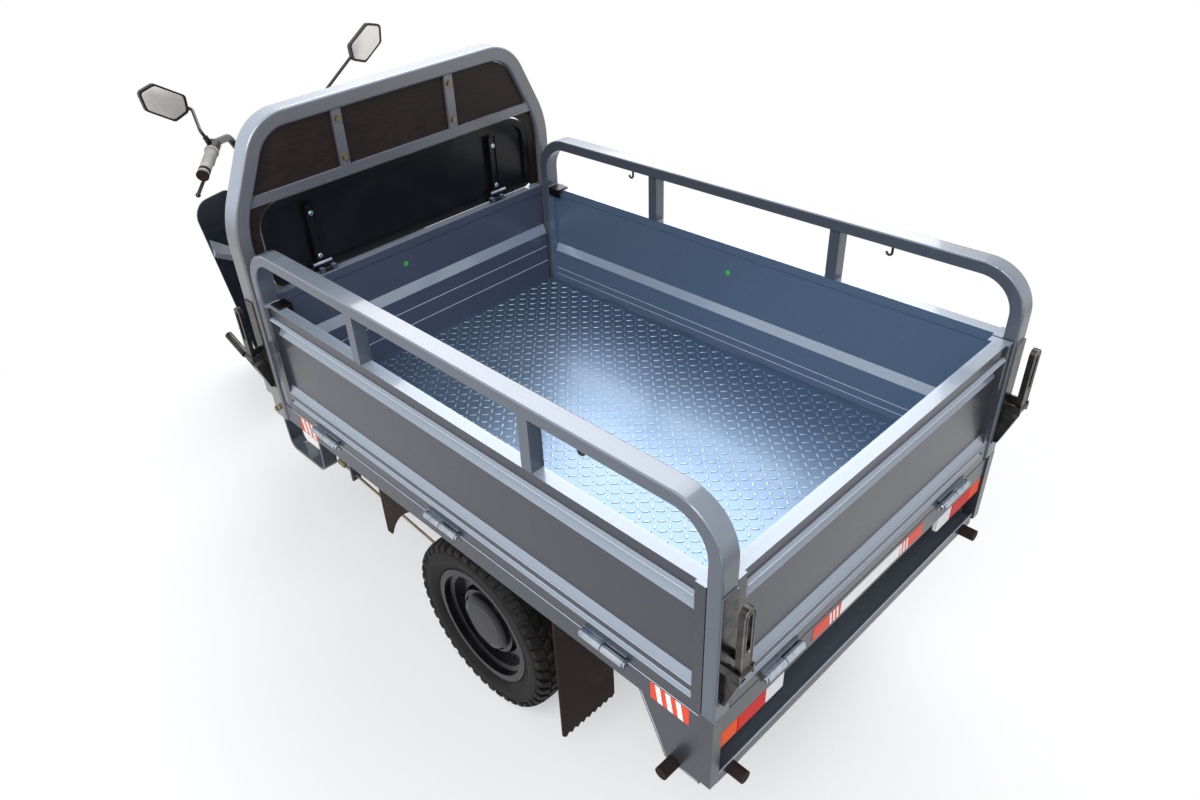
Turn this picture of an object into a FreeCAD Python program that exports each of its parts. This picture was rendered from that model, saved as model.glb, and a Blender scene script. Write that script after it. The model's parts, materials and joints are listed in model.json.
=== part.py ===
import FreeCAD, Part
import math
import os

# Cargo tricycle. Millimetres, X forward, Y to the rider's left, Z up, ground at Z = 0.
# It is built with X = 0 at the rear face of the rear posts and centred along X on export.

# Wheels
TYRE_R = 245.0
TYRE_W = 100.0
RIM_R = 165.0
RIM_W = 80.0
BEAD_R = 152.0
DRUM_R = 105.0
DRUM_IN = 48.0
HUB_CAP_R = 80.0
HAT_R = 92.0
HUB_BORE_R = 38.0
HOLE_RING_R = 117.0
DISC_HOLE_R = 8.0
DISC_T = 4.0
HAT_OUT = 12.0
AXLE_R = 15.0
REAR_AXLE_BACK = 712.0
REAR_TRACK = 850.0
FRONT_AXLE_AHEAD = 1160.0
FRONT_AXLE_R = 8.0

# Cargo bed
HINGE_Z = 640.0
BED_LEN = 1480.0
BED_HALF = 520.0
SILL_W = 40.0
SILL_H = 54.0
SILL_DROP = 9.0
SILL_ROUND = 2.0
FLOOR_T = 3.0
BEARER_H = 40.0
BEARER_W = 40.0
BEARER_COUNT = 6
RAIL_H = 80.0
RAIL_W = 40.0
RAIL_Y = 260.0
TUBE_WALL = 2.5
GATE_GAP = 4.0

# Drop sides, tailgate and front board
GATE_TOP = 313.0
GATE_FOOT = 46.0
GATE_SKIN = 1.5
GATE_LIP = 6.0
GATE_TOP_W = 30.0
GATE_BAND = ((12.0, 81.0), (26.0, 59.0), (25.0, 53.0), (0.0, 35.0), (0.0, 31.0))
STILE_W = 22.0
SIDE_LEDGE = (104.0, 126.0)
BOARD_LEDGE = (155.0, 183.0)
TAILGATE_X = 4.0
BOARD_AHEAD = 32.0
GUARD_TOP = 470.0
GUARD_H = 30.0
GUARD_W = 45.0
GUARD_BEND = 90.0
GUARD_POST = 28.0
GUARD_POST_INSET = 455.0
GATE_DROP = 175.0

# Hinges
PIN_OUT = 9.5
PIN_DOWN = 7.0
PIN_R = 4.0
KNUCKLE_R = 9.0
LEAF_T = 3.0
HINGE_LEN = 112.0
LEAF_H = 6.0
SIDE_HINGE_REAR = 260.0
SIDE_HINGE_SHIFT = 26.0
SIDE_HINGE_FRONT = 218.0
TAIL_HINGE_INSET = 200.0
RUN_FIT = 0.05
AIR = 0.3

# Corner latches
LATCH_W = 40.0
LATCH_PLATE_T = 3.0
LATCH_LOW = 45.0
LATCH_HIGH = 305.0
LATCH_PIVOT = 150.0
LATCH_PIVOT_OUT = 34.0
LATCH_LEVER_W = 30.0
LATCH_LEVER_T = 12.0
LATCH_SLOT_W = 13.0
LATCH_PIN_R = 4.0
LATCH_BOSS_R = 10.0
EAR_T = 4.0

# Headboard
HOOP_AHEAD = 10.0
HOOP_DEPTH = 60.0
HOOP_FACE = 40.0
HOOP_INSET = 15.0
HOOP_KINK = 510.0
HOOP_TOP = 735.0
HOOP_LEAN = 110.0
HOOP_KINK_BEND = 250.0
HOOP_TOP_BEND = 110.0
CROSSBAR_TOP = 568.0
CROSSBAR_H = 25.0
STRAP_Y = 180.0
STRAP_W = 28.0
STRAP_T = 8.0
BACK_BOARD_T = 12.0
BACK_BOARD_GAP = 2.0
REST_CLEAR = 4.0

# Backrest
REST_LOW = 316.0
REST_HIGH = 538.0
REST_PAD_HIGH = 510.0
REST_INSET = 55.0
REST_CORNER = 70.0
REST_SHELL_T = 14.0
REST_RIM = 18.0
REST_RIM_T = 24.0
REST_PAD_T = 70.0
REST_PAD_INSET = 40.0
REST_PIN_R = 5.0
REST_HINGE_Y = 300.0
REST_EAR = 12.0
REST_BOSS_R = 7.5
REST_PIN_BACK = 12.0
REST_PIN_UP = 8.0

# Rear end
POST_W = 25.0
POST_LOW = 441.0
GUSSET_T = 6.0
GUSSET_LEN = 155.0
GUSSET_FOOT = 84.0
GUSSET_LOW = 420.0
BUMPER_D = 55.0
BUMPER_T = 4.0
BUMPER_LIP = 14.0
BUFFER_R = 14.0
BUFFER_INSET = 70.0
BUFFER_X = 91.0
BUFFER_Z = 430.0
LAMP_H = 46.0
LAMP_INSET = 30.0
LAMP_AMBER_W = 50.0
LAMP_RED_W = 88.0
LAMP_CLEAR_W = 57.0
LAMP_LENS_T = 12.0
FLAP_T = 5.0
FLAP_BACK = 338.0
FLAP_LOW = 150.0
FLAP_Y = (332.0, 505.0)
FLAP_TEETH = 9
ARCH_AHEAD = 198.0
ARCH_LEN = 140.0
ARCH_LOW = 378.0
ARCH_GAP = 100.0

# Side steps
STEP_BACK = 150.0
STEP_LEN = 192.0
STEP_TREAD_INSET = 8.0
STEP_LOW = 470.0
STEP_T = 8.0
STEP_W = 40.0
STEP_BEND = 25.0

# Front frame, floor and legshield
FRAME_TUBE_R = 24.0
FRAME_NOSE_R = 28.0
FRAME_DOWN_R = 25.0
FRAME_TUBE_Y = 120.0
FRAME_Z = 330.0
FRAME_BEND = 50.0
FRAME_NOSE_AHEAD = 735.0
FLOORBOARD_T = 3.0
FLOORBOARD_EDGE = 5.0
SHIELD_AHEAD = 704.0
SHIELD_SWEEP = 75.0
SHIELD_T = 5.0
SHIELD_TOP = 1010.0
SHIELD_HALF_TOP = 392.0
SHIELD_HALF_LOW = 300.0
SHIELD_CORNER = 50.0
SHIELD_DIP = 42.0
SHIELD_DIP_HALF = 210.0

# Seat
SEAT_AHEAD = 92.0
SEAT_LEN = 383.0
SEAT_HALF = 300.0
SEAT_BASE_TOP = 695.0
SEAT_WALL = 4.0
SEAT_PAN_T = 6.0
SEAT_PAD_T = 85.0
SEAT_PIN_R = 5.0
BATTERY = (300.0, 480.0, 240.0)
CONTROLLER = (120.0, 260.0, 70.0)

# Steering and fork
RAKE = 25.0
FORK_OFFSET = 35.0
FORK_HALF = 85.0
SLIDER_R = 24.0
STANCHION_R = 17.0
SLIDER_TOP = 260.0
SLIDER_LOW = -26.0
STANCHION_LOW = 120.0
FORK_TRAVEL = 60.0
YOKE_LOW = 480.0
YOKE_HIGH = 695.0
YOKE_T = 25.0
STEM_R = 18.0
HEAD_R = 30.0
BAR_R = 11.0
BAR_AT = 850.0
BAR_BENDS = (45.0, 60.0, 20.0)
BAR_POINTS = ((0.0, 95.0, 0.0), (-99.0, 200.0, 160.0), (-209.0, 290.0, 190.0), (-309.0, 388.0, 148.0))
GRIP_R = 17.0
GRIP_LEN = 105.0
PERCH_R = 19.0
PERCH_LEN = 34.0
PERCH_POST = 26.0
LEVER_LEN = 150.0
LEVER_OUT = 62.0
LEVER_DOWN = 45.0
LEVER_T = 9.0
LEVER_PIN_R = 4.0
MUDGUARD_GAP = 18.0
MUDGUARD_T = 3.0
LIGHT_R = 78.0
LIGHT_LEN = 105.0
LIGHT_Z = 800.0
MIRROR_STEM_R = 5.0
MIRROR_W = 155.0
MIRROR_H = 92.0
MIRROR_T = 22.0
MIRROR_RISE = 34.0
MIRROR_POINTS = ((131.0, -31.0, 60.0), (131.0, -11.0, 70.0))
RIGHT_MIRROR_POINTS = ((-25.0, 128.5, 152.0),)
MIRROR_CLAMP_AT = 165.0
MIRROR_CLAMP_LEN = 28.0
MIRROR_POST_R = 9.0
MIRROR_BEND = 10.0
MIRROR_LEAN = 26.7
MIRROR_HOLD = 12.0

# Rear axle and springs
AXLE_TUBE_R = 38.0
CASE_R = 95.0
MOTOR_R = 85.0
MOTOR_LEN = 240.0
MOTOR_AHEAD = 172.0
SPRING_Y = 300.0
SPRING_HALF = 400.0
SPRING_W = 50.0
SPRING_LEAF_T = 8.0
SPRING_LEAVES = 4
SPRING_SAG = 100.0
SPRING_EYE_R = 16.0
SPRING_PIN_R = 8.0
HANGER_T = 6.0

# Brake controls
PARK_AHEAD = 28.0
PARK_UP = 10.0
PARK_REACH = 212.0
PARK_RISE = 76.0
PARK_R = 7.0
EYE_PROUD = 2.0
PEDAL_BACK = 194.0
PEDAL_INSET = 105.0
PEDAL_UP = 35.0
PEDAL_REACH = 95.0
PEDAL_RISE = 78.0
PEDAL_R = 8.0
PEDAL_PAD_SIZE = (60.0, 80.0, 12.0)
ROD_FRONT_BACK = 18.0
ROD_FRONT_Y = 400.0
ROD_FRONT_Z = 355.0
ROD_REAR_AHEAD = 132.0
ROD_REAR_Y = 340.0
ROD_REAR_Z = 190.0
ROD_R = 4.0
ROD_GUIDE = 45.0

# Worked out from the sizes above
V = FreeCAD.Vector
AXIS_X = V(1, 0, 0)
AXIS_Y = V(0, 1, 0)
AXIS_Z = V(0, 0, 1)
SILL_TOP = HINGE_Z - SILL_DROP
SILL_LOW = SILL_TOP - SILL_H
SILL_IN = BED_HALF - SILL_W
BEARER_TOP = HINGE_Z - FLOOR_T
BEARER_LOW = BEARER_TOP - BEARER_H
RAIL_LOW = BEARER_LOW - RAIL_H
POST_D = GUARD_H
POST_IN = BED_HALF - POST_W
FLOOR_HALF = BED_HALF - GATE_FOOT - GATE_GAP
GATE_LOW = -SILL_DROP + GATE_GAP
GATE_END = BED_HALF - GUARD_W - 2 * AIR - GATE_GAP
PIN_Z = HINGE_Z - PIN_DOWN
HOOP_X = BED_LEN + HOOP_AHEAD
HOOP_FRONT = HOOP_X + HOOP_DEPTH
HOOP_HALF = BED_HALF - HOOP_INSET
HOOP_SHOULDER = HOOP_HALF - HOOP_LEAN
BOARD_X = BED_LEN + BOARD_AHEAD
REST_HALF = HOOP_HALF - REST_INSET
REST_PAD_HALF = REST_HALF - REST_PAD_INSET
BUFFER_Y = BED_HALF - BUFFER_INSET
LAMP_OUT = BED_HALF - LAMP_INSET
LAMP_RED = LAMP_OUT - LAMP_AMBER_W
LAMP_CLEAR = LAMP_RED - LAMP_RED_W
LAMP_IN = LAMP_CLEAR - LAMP_CLEAR_W
TAIL_HINGE_Y = BED_HALF - TAIL_HINGE_INSET
SIDE_HINGE_X = (SIDE_HINGE_REAR, BED_LEN / 2 + SIDE_HINGE_SHIFT, BED_LEN - SIDE_HINGE_FRONT)
GUARD_POST_X = (GUARD_POST_INSET, BED_LEN - GUARD_POST_INSET)
STEP_X = (BED_LEN - STEP_BACK, BED_LEN - STEP_BACK + STEP_LEN)
STEP_TREAD_X = (STEP_X[0] + STEP_TREAD_INSET, STEP_X[1] - STEP_TREAD_INSET)
FRONT_AXLE_X = BED_LEN + FRONT_AXLE_AHEAD
REAR_AXLE_X = BED_LEN - REAR_AXLE_BACK
FLAP_X = REAR_AXLE_X - FLAP_BACK
ARCH_X = (REAR_AXLE_X + ARCH_AHEAD, REAR_AXLE_X + ARCH_AHEAD + ARCH_LEN)
FRAME_NOSE_X = BED_LEN + FRAME_NOSE_AHEAD
SHIELD_X = BED_LEN + SHIELD_AHEAD
FLOORBOARD_END = SHIELD_X
FLOORBOARD_HALF = SEAT_HALF + FLOORBOARD_EDGE
SEAT_X = (BED_LEN + SEAT_AHEAD, BED_LEN + SEAT_AHEAD + SEAT_LEN)
REST_X = HOOP_X + 12
FLOORBOARD_TOP = FRAME_Z + FRAME_TUBE_R + FLOORBOARD_T
PARK_PIVOT = (HOOP_FRONT + PARK_AHEAD, HOOP_HALF, HINGE_Z + PARK_UP)
PARK_TOP = (PARK_PIVOT[0] + PARK_REACH, HOOP_HALF, PARK_PIVOT[2] + PARK_RISE)
PEDAL_PIVOT = (SHIELD_X - PEDAL_BACK, PEDAL_INSET - FLOORBOARD_HALF, FLOORBOARD_TOP + PEDAL_UP)
PEDAL_PAD = (PEDAL_PIVOT[0] + PEDAL_REACH, PEDAL_PIVOT[1], PEDAL_PIVOT[2] + PEDAL_RISE)
ROD_FRONT = (BED_LEN - ROD_FRONT_BACK, ROD_FRONT_Y, ROD_FRONT_Z)
ROD_REAR = (REAR_AXLE_X + ROD_REAR_AHEAD, ROD_REAR_Y, ROD_REAR_Z)
SPRING_EYE_Z = TYRE_R + AXLE_TUBE_R + SPRING_LEAVES * SPRING_LEAF_T + SPRING_SAG
STEER_BASE = V(
    FRONT_AXLE_X - FORK_OFFSET * math.cos(math.radians(RAKE)), 0,
    TYRE_R - FORK_OFFSET * math.sin(math.radians(RAKE)))
STEER_TURN = FreeCAD.Rotation(AXIS_Y, -RAKE)
STEER_UP = STEER_TURN.multVec(AXIS_Z)


# General shapes

def box(xs, ys, zs):
    """Block between two limits along each axis."""
    size = (xs[1] - xs[0], ys[1] - ys[0], zs[1] - zs[0])
    return Part.makeBox(*size, V(xs[0], ys[0], zs[0]))


def rod(start, end, radius):
    """Round bar between two points."""
    start = V(*start)
    along = V(*end) - start
    return Part.makeCylinder(radius, along.Length, start, along)


def cross_pin(middle, reach, radius):
    """Pin across the vehicle, the same length to both sides of its middle."""
    return rod((middle.x, middle.y - reach, middle.z), (middle.x, middle.y + reach, middle.z), radius)


def box_tube(xs, ys, zs, along):
    """Rectangular tube, open at both ends along one axis."""
    limits = [xs, ys, zs]
    inner = [(low + TUBE_WALL, high - TUBE_WALL) for low, high in limits]
    index = "xyz".index(along)
    inner[index] = (limits[index][0] - 1, limits[index][1] + 1)
    return box(xs, ys, zs).cut(box(*inner))


def mirrored(shape):
    """The same piece on the other side of the centre plane."""
    return shape.mirror(V(0, 0, 0), AXIS_Y)


def both_sides(shape):
    return [shape, mirrored(shape)]


def fused(shapes):
    whole = shapes[0].fuse(shapes[1:])
    return whole.removeSplitter()


def route_edges(points, radii):
    """Straight runs joined by tangent arcs at the inner points."""
    edges = []
    start = points[0]
    for before, corner, after, radius in zip(points, points[1:], points[2:], radii):
        back = (before - corner).normalize()
        ahead = (after - corner).normalize()
        half_turn = (math.pi - back.getAngle(ahead)) / 2
        reach = radius * math.tan(half_turn)
        enter = corner + back * reach
        leave = corner + ahead * reach
        bisector = (back + ahead).normalize()
        middle = corner + bisector * (radius / math.cos(half_turn) - radius)
        edges.append(Part.LineSegment(start, enter).toShape())
        edges.append(Part.Arc(enter, middle, leave).toShape())
        start = leave
    edges.append(Part.LineSegment(start, points[-1]).toShape())
    return edges


def round_pipe(points, radii, radius):
    """Solid round bar along a bent route."""
    points = [V(*point) for point in points]
    path = Part.Wire(route_edges(points, radii))
    section = Part.Wire(Part.makeCircle(radius, points[0], points[1] - points[0]))
    return path.makePipeShell([section], True, False)


def shifted(points, distance):
    """A flat line of points moved sideways to its left."""
    normals = []
    for a, b in zip(points, points[1:]):
        length = math.hypot(b[0] - a[0], b[1] - a[1])
        normals.append((-(b[1] - a[1]) / length, (b[0] - a[0]) / length))
    moved = []
    for index, (u, v) in enumerate(points):
        first = normals[max(index - 1, 0)]
        second = normals[min(index, len(normals) - 1)]
        share = distance / (1 + first[0] * second[0] + first[1] * second[1])
        moved.append((u + share * (first[0] + second[0]), v + share * (first[1] + second[1])))
    return moved


def bent_band(points, radii, half, place, depth):
    """Flat band of even width along a bent line, given a depth."""
    left_radii = []
    right_radii = []
    for before, corner, after, radius in zip(points, points[1:], points[2:], radii):
        cross = (corner[0] - before[0]) * (after[1] - corner[1])
        cross -= (corner[1] - before[1]) * (after[0] - corner[0])
        inward = math.copysign(half, cross)
        left_radii.append(radius - inward)
        right_radii.append(radius + inward)
    left = [place(*point) for point in shifted(points, half)]
    right = [place(*point) for point in shifted(points, -half)]
    edges = route_edges(left, left_radii) + route_edges(right, right_radii)
    edges.append(Part.LineSegment(left[0], right[0]).toShape())
    edges.append(Part.LineSegment(left[-1], right[-1]).toShape())
    outline = Part.Wire(Part.__sortEdges__(edges))
    return Part.Face(outline).extrude(depth)


def plate(points, depth):
    """Flat plate with straight edges."""
    corners = [V(*point) for point in points]
    return Part.Face(Part.makePolygon(corners + corners[:1])).extrude(depth)


def rounded_plate(points, radii, depth):
    """Flat plate whose corners are rounded."""
    corners = [V(*point) for point in points]
    middle = (corners[0] + corners[-1]) * 0.5
    edges = route_edges([middle] + corners + [middle], radii)
    return Part.Face(Part.Wire(edges)).extrude(depth)


def turned(profile, centre):
    """Ring about the wheel axis, from (radius, across) points."""
    corners = [V(centre[0], centre[1] + across, centre[2] + radius) for radius, across in profile]
    face = Part.Face(Part.makePolygon(corners + corners[:1]))
    return face.revolve(V(*centre), AXIS_Y, 360)


def rounded_long_edges(shape, radius, end_z):
    """Round every edge that does not lie in the cut end of a tube."""
    edges = [edge for edge in shape.Edges if edge.BoundBox.ZMax > end_z + 1]
    return shape.makeFillet(radius, edges)


# Pressed panels

def gate_profile(ledge, low):
    """Closed outline of a double-skin panel as (depth from the outer face, height) points."""
    outer = [
        (0, low), (0, 24), (5, 30), (5, 36), (0, 40), (0, 57), (3, 60), (12, 76)]
    outer += [(depth, GATE_TOP - drop) for depth, drop in GATE_BAND]
    back = GATE_LIP + GATE_TOP_W
    edge = [
        (GATE_LIP, GATE_TOP - 28), (GATE_LIP, GATE_TOP), (back, GATE_TOP), (back, GATE_TOP - 23),
        (back - 3, GATE_TOP - 27)]
    inner = [(back - 3, ledge[1]), (GATE_FOOT, ledge[0]), (GATE_FOOT, low)]
    return outer + edge + inner


def pressed_panel(ledge, low, place, along):
    """Hollow pressed panel along a straight run."""
    corners = [place(depth, HINGE_Z + height) for depth, height in gate_profile(ledge, low)]
    skin = Part.Face(Part.makePolygon(corners + corners[:1]))
    hollow = skin.makeOffset2D(-GATE_SKIN)
    return skin.extrude(along).cut(hollow.extrude(along))


def end_stile(x, y, z):
    """Upright end tube of a panel, closed at its top."""
    lid = box(x, y, (z[1] - GATE_SKIN, z[1]))
    return fused([box_tube(x, y, z, "z"), lid])


def side_panel():
    """Left drop side between the two legs of its guard rail."""
    start = GUARD_H
    end = BED_LEN - GUARD_H
    first = pressed_panel(
        SIDE_LEDGE, GATE_LOW, lambda depth, z: V(start + STILE_W, BED_HALF - depth, z),
        AXIS_X * (end - start - 2 * STILE_W))
    low = HINGE_Z + GATE_LOW
    high = HINGE_Z + GATE_TOP
    deep = (BED_HALF - GUARD_W, BED_HALF)
    rear = end_stile((start, start + STILE_W), deep, (low, high))
    front = end_stile((end - STILE_W, end), deep, (low, high))
    return fused([first, rear, front])


def guard_rail():
    """Left bent guard rail with its two uprights and the rear latch base."""
    centre = HINGE_Z + GUARD_TOP - GUARD_H / 2
    line = [
        (GUARD_H / 2, HINGE_Z), (GUARD_H / 2, centre),
        (BED_LEN - GUARD_H / 2, centre), (BED_LEN - GUARD_H / 2, HINGE_Z)]
    bends = (GUARD_BEND, GUARD_BEND)
    outer = bent_band(
        line, bends, GUARD_H / 2, lambda x, z: V(x, BED_HALF - GUARD_W, z), AXIS_Y * GUARD_W)
    outer = rounded_long_edges(outer, 4, HINGE_Z)
    inner = bent_band(
        line, bends, GUARD_H / 2 - TUBE_WALL, lambda x, z: V(x, BED_HALF - GUARD_W + TUBE_WALL, z),
        AXIS_Y * (GUARD_W - 2 * TUBE_WALL))
    pieces = [outer.cut(inner)]
    for x in GUARD_POST_X:
        pieces.append(box_tube(
            (x - GUARD_POST / 2, x + GUARD_POST / 2), (BED_HALF - 38, BED_HALF - 6),
            (HINGE_Z + GATE_TOP, HINGE_Z + GUARD_TOP - GUARD_H), "z"))
    pieces.append(latch_base(rear_latch_place()))
    return fused(pieces)


def tailgate_panel():
    """Tailgate between the rear legs of the drop sides."""
    run = 2 * (GATE_END - STILE_W)
    first = pressed_panel(
        SIDE_LEDGE, GATE_LOW, lambda depth, z: V(TAILGATE_X + depth, -run / 2, z), AXIS_Y * run)
    low = HINGE_Z + GATE_LOW
    high = HINGE_Z + GATE_TOP
    deep = (TAILGATE_X, TAILGATE_X + GATE_FOOT)
    left = end_stile(deep, (run / 2, GATE_END), (low, high))
    return fused([first, left, mirrored(left)])


def front_board():
    """Fixed front wall of the bed, with the ears that carry the backrest."""
    run = 2 * GATE_END
    wall = pressed_panel(
        BOARD_LEDGE, -FLOOR_T, lambda depth, z: V(BOARD_X - depth, -run / 2, z), AXIS_Y * run)
    pin = rest_pivot()
    ears = []
    for y in (REST_HINGE_Y - 2 * REST_EAR, REST_HINGE_Y + REST_EAR):
        ear = box(
            (pin.x - REST_BOSS_R, pin.x + REST_BOSS_R), (y, y + REST_EAR),
            (HINGE_Z + GATE_TOP - GATE_SKIN / 2, pin.z + REST_BOSS_R))
        hole = rod((pin.x, y - 1, pin.z), (pin.x, y + REST_EAR + 1, pin.z), REST_PIN_R + RUN_FIT)
        ears += both_sides(ear.cut(hole))
    return fused([wall] + ears)


# Hinges

def side_hinge(x, moving):
    """One leaf of a drop side hinge. The fixed leaf holds the pin."""
    y = BED_HALF + PIN_OUT
    half = HINGE_LEN / 2
    reach = KNUCKLE_R + 1
    if moving:
        span = (x + AIR, x + half)
        leaf_z = (PIN_Z + reach, PIN_Z + reach + LEAF_H)
        tab_z = (PIN_Z, PIN_Z + reach)
    else:
        span = (x - half, x)
        leaf_z = (PIN_Z - reach - LEAF_H, PIN_Z - reach)
        tab_z = (PIN_Z - reach, PIN_Z)
    leaf = fused([
        box((x - half, x + half), (BED_HALF, BED_HALF + LEAF_T), leaf_z),
        box(span, (BED_HALF, BED_HALF + LEAF_T), tab_z),
        rod((span[0], y, PIN_Z), (span[1], y, PIN_Z), KNUCKLE_R)])
    pin = (x - half - 3, y, PIN_Z), (x + half + 3, y, PIN_Z)
    if moving:
        return leaf.cut(rod(*pin, PIN_R + RUN_FIT))
    return fused([leaf, rod(*pin, PIN_R)])


def tail_hinge(y, moving):
    """The same hinge turned a quarter turn onto the tailgate."""
    leaf = side_hinge(0, moving)
    leaf.rotate(V(0, 0, 0), AXIS_Z, 90)
    leaf.translate(V(BED_HALF + TAILGATE_X, y, 0))
    return leaf


# Latches

def rear_latch_place():
    return FreeCAD.Placement(V(0, BED_HALF - GUARD_W / 2, HINGE_Z), FreeCAD.Rotation())


def front_latch_place():
    middle = HOOP_X + HOOP_DEPTH / 2
    return FreeCAD.Placement(V(middle, HOOP_HALF + HOOP_FACE / 2, HINGE_Z), FreeCAD.Rotation(AXIS_Z, -90))


def placed(shape, placement):
    moved = shape.copy()
    moved.Placement = placement.multiply(moved.Placement)
    return moved


def latch_base(placement):
    """Plate with two ears, a pin and a tapered tail. It stands out along -X before it is placed."""
    half = LATCH_W / 2
    pivot = LATCH_PIVOT_OUT
    back = LATCH_PLATE_T
    pieces = [box((-back, 0), (-half, half), (LATCH_LOW, LATCH_HIGH))]
    for y in (-half, half - EAR_T):
        ear = box((-pivot, -back), (y, y + EAR_T), (LATCH_PIVOT - LATCH_BOSS_R, LATCH_PIVOT + LATCH_BOSS_R))
        cap = rod((-pivot, y, LATCH_PIVOT), (-pivot, y + EAR_T, LATCH_PIVOT), LATCH_BOSS_R)
        pieces += [ear, cap]
    pieces.append(rod((-pivot, -half, LATCH_PIVOT), (-pivot, half, LATCH_PIVOT), LATCH_PIN_R))
    tail = [
        (-back, -half / 2, LATCH_LOW), (-back - 6, -half / 2, LATCH_LOW),
        (-pivot, -half / 2, LATCH_PIVOT - 3 * LATCH_BOSS_R),
        (-back, -half / 2, LATCH_PIVOT - 2 * LATCH_BOSS_R)]
    pieces.append(plate(tail, AXIS_Y * half))
    return placed(fused(pieces), placement)


def latch_lever(placement):
    """Slotted loop handle that turns on the pin of its base."""
    half = LATCH_LEVER_W / 2
    x = -LATCH_PIVOT_OUT
    top = LATCH_HIGH - 5
    face = x - LATCH_LEVER_T / 2
    corners = [
        (face, -half, LATCH_PIVOT), (face, half, LATCH_PIVOT), (face, half, top), (face, -half, top)]
    body = rounded_plate(corners, (2, 2, half - 1, half - 1), AXIS_X * LATCH_LEVER_T)
    slot = LATCH_SLOT_W / 2
    slot_corners = [
        (face, -slot, LATCH_PIVOT + 55), (face, slot, LATCH_PIVOT + 55),
        (face, slot, top - 12), (face, -slot, top - 12)]
    body = body.cut(rounded_plate(slot_corners, (slot - 1,) * 4, AXIS_X * LATCH_LEVER_T))
    boss = rod((x, -half, LATCH_PIVOT), (x, half, LATCH_PIVOT), LATCH_BOSS_R)
    bore = rod((x, -half - 1, LATCH_PIVOT), (x, half + 1, LATCH_PIVOT), LATCH_PIN_R + RUN_FIT)
    return placed(body.fuse(boss).cut(bore), placement)


# Chassis

def chassis_frame():
    """Straight tubes of the bed frame and chassis, and the spring hangers."""
    pieces = []
    bearer_x = [60 + i * (BED_LEN - 90) / (BEARER_COUNT - 1) for i in range(BEARER_COUNT)]
    for x in bearer_x:
        span = (x, x + BEARER_W)
        bar = box_tube(span, (-FLOOR_HALF, FLOOR_HALF), (BEARER_LOW, BEARER_TOP), "y")
        foot = box(span, (FLOOR_HALF - GATE_GAP, SILL_IN), (BEARER_LOW, SILL_TOP))
        pieces.append(fused([bar] + both_sides(foot)))
    rear_beam = (TAILGATE_X, POST_D)
    pieces.append(box_tube(rear_beam, (-POST_IN, POST_IN), (SILL_LOW, SILL_TOP), "y"))
    front_inner = HOOP_HALF - HOOP_FACE / 2
    front_beam = (HOOP_X + 10, HOOP_X + 10 + BEARER_W)
    pieces.append(box_tube(front_beam, (-front_inner, front_inner), (SILL_LOW, SILL_TOP), "y"))
    sill = box_tube((POST_D, HOOP_X), (SILL_IN, BED_HALF), (SILL_LOW, SILL_TOP), "x")
    outer_edges = [
        edge for edge in sill.Edges if edge.BoundBox.YMin > BED_HALF - 0.1 and edge.Length > BED_LEN / 2]
    sill = sill.makeFillet(SILL_ROUND, outer_edges)
    rail = box_tube(
        (rear_beam[1], front_beam[0]), (RAIL_Y - RAIL_W / 2, RAIL_Y + RAIL_W / 2),
        (RAIL_LOW, BEARER_LOW), "x")
    cross = box_tube(front_beam, (-RAIL_Y, RAIL_Y), (RAIL_LOW, SILL_LOW), "y")
    pieces += both_sides(sill) + both_sides(rail) + [cross]
    for x in (REAR_AXLE_X - SPRING_HALF, REAR_AXLE_X + SPRING_HALF):
        pieces += both_sides(spring_hanger(x))
    pieces.append(rod_guide())
    return pieces


def spring_hanger(x):
    """Bracket under a chassis rail that holds one spring eye on a pin."""
    half = SPRING_W / 2 + 2
    inner = SPRING_Y - half
    outer = SPRING_Y + half
    low = SPRING_EYE_Z - SPRING_EYE_R
    span = (x - SPRING_EYE_R - 6, x + SPRING_EYE_R + 6)
    pieces = [box(span, (RAIL_Y - RAIL_W / 2, outer + HANGER_T), (RAIL_LOW - HANGER_T, RAIL_LOW))]
    for y in (inner - HANGER_T, outer):
        pieces.append(box(span, (y, y + HANGER_T), (low, RAIL_LOW - HANGER_T)))
    pin = rod((x, inner - HANGER_T, SPRING_EYE_Z), (x, outer + HANGER_T, SPRING_EYE_Z), SPRING_PIN_R)
    return fused(pieces + [pin])


def rod_guide():
    """Hanging plate with the hole that the brake rod slides in."""
    front = V(*ROD_FRONT)
    along = (V(*ROD_REAR) - front).normalize()
    at = front + along * ROD_GUIDE
    hanger = box((at.x - 4, at.x + 4), (at.y - 14, at.y + 14), (at.z - 16, BEARER_LOW))
    strut = box((at.x - 4, at.x + 4), (at.y - 14, SILL_IN), (BEARER_LOW, BEARER_LOW + 6))
    hole = rod(at - along * 40, at + along * 40, ROD_R + AIR)
    return fused([hanger, strut]).cut(hole)


def front_frame():
    """Bent side tubes, nose cross tube, down tube and head tube, welded."""
    head_low = on_steering(0, 0, YOKE_LOW + YOKE_T + AIR)
    head_high = on_steering(0, 0, YOKE_HIGH - AIR)
    whole = frame_bars(0).fuse(rod(head_low, head_high, HEAD_R)).removeSplitter()
    bore = rod(head_low - STEER_UP * 2, head_high + STEER_UP * 2, STEM_R + RUN_FIT)
    return whole.cut(frame_bars(TUBE_WALL)).cut(bore)


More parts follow.
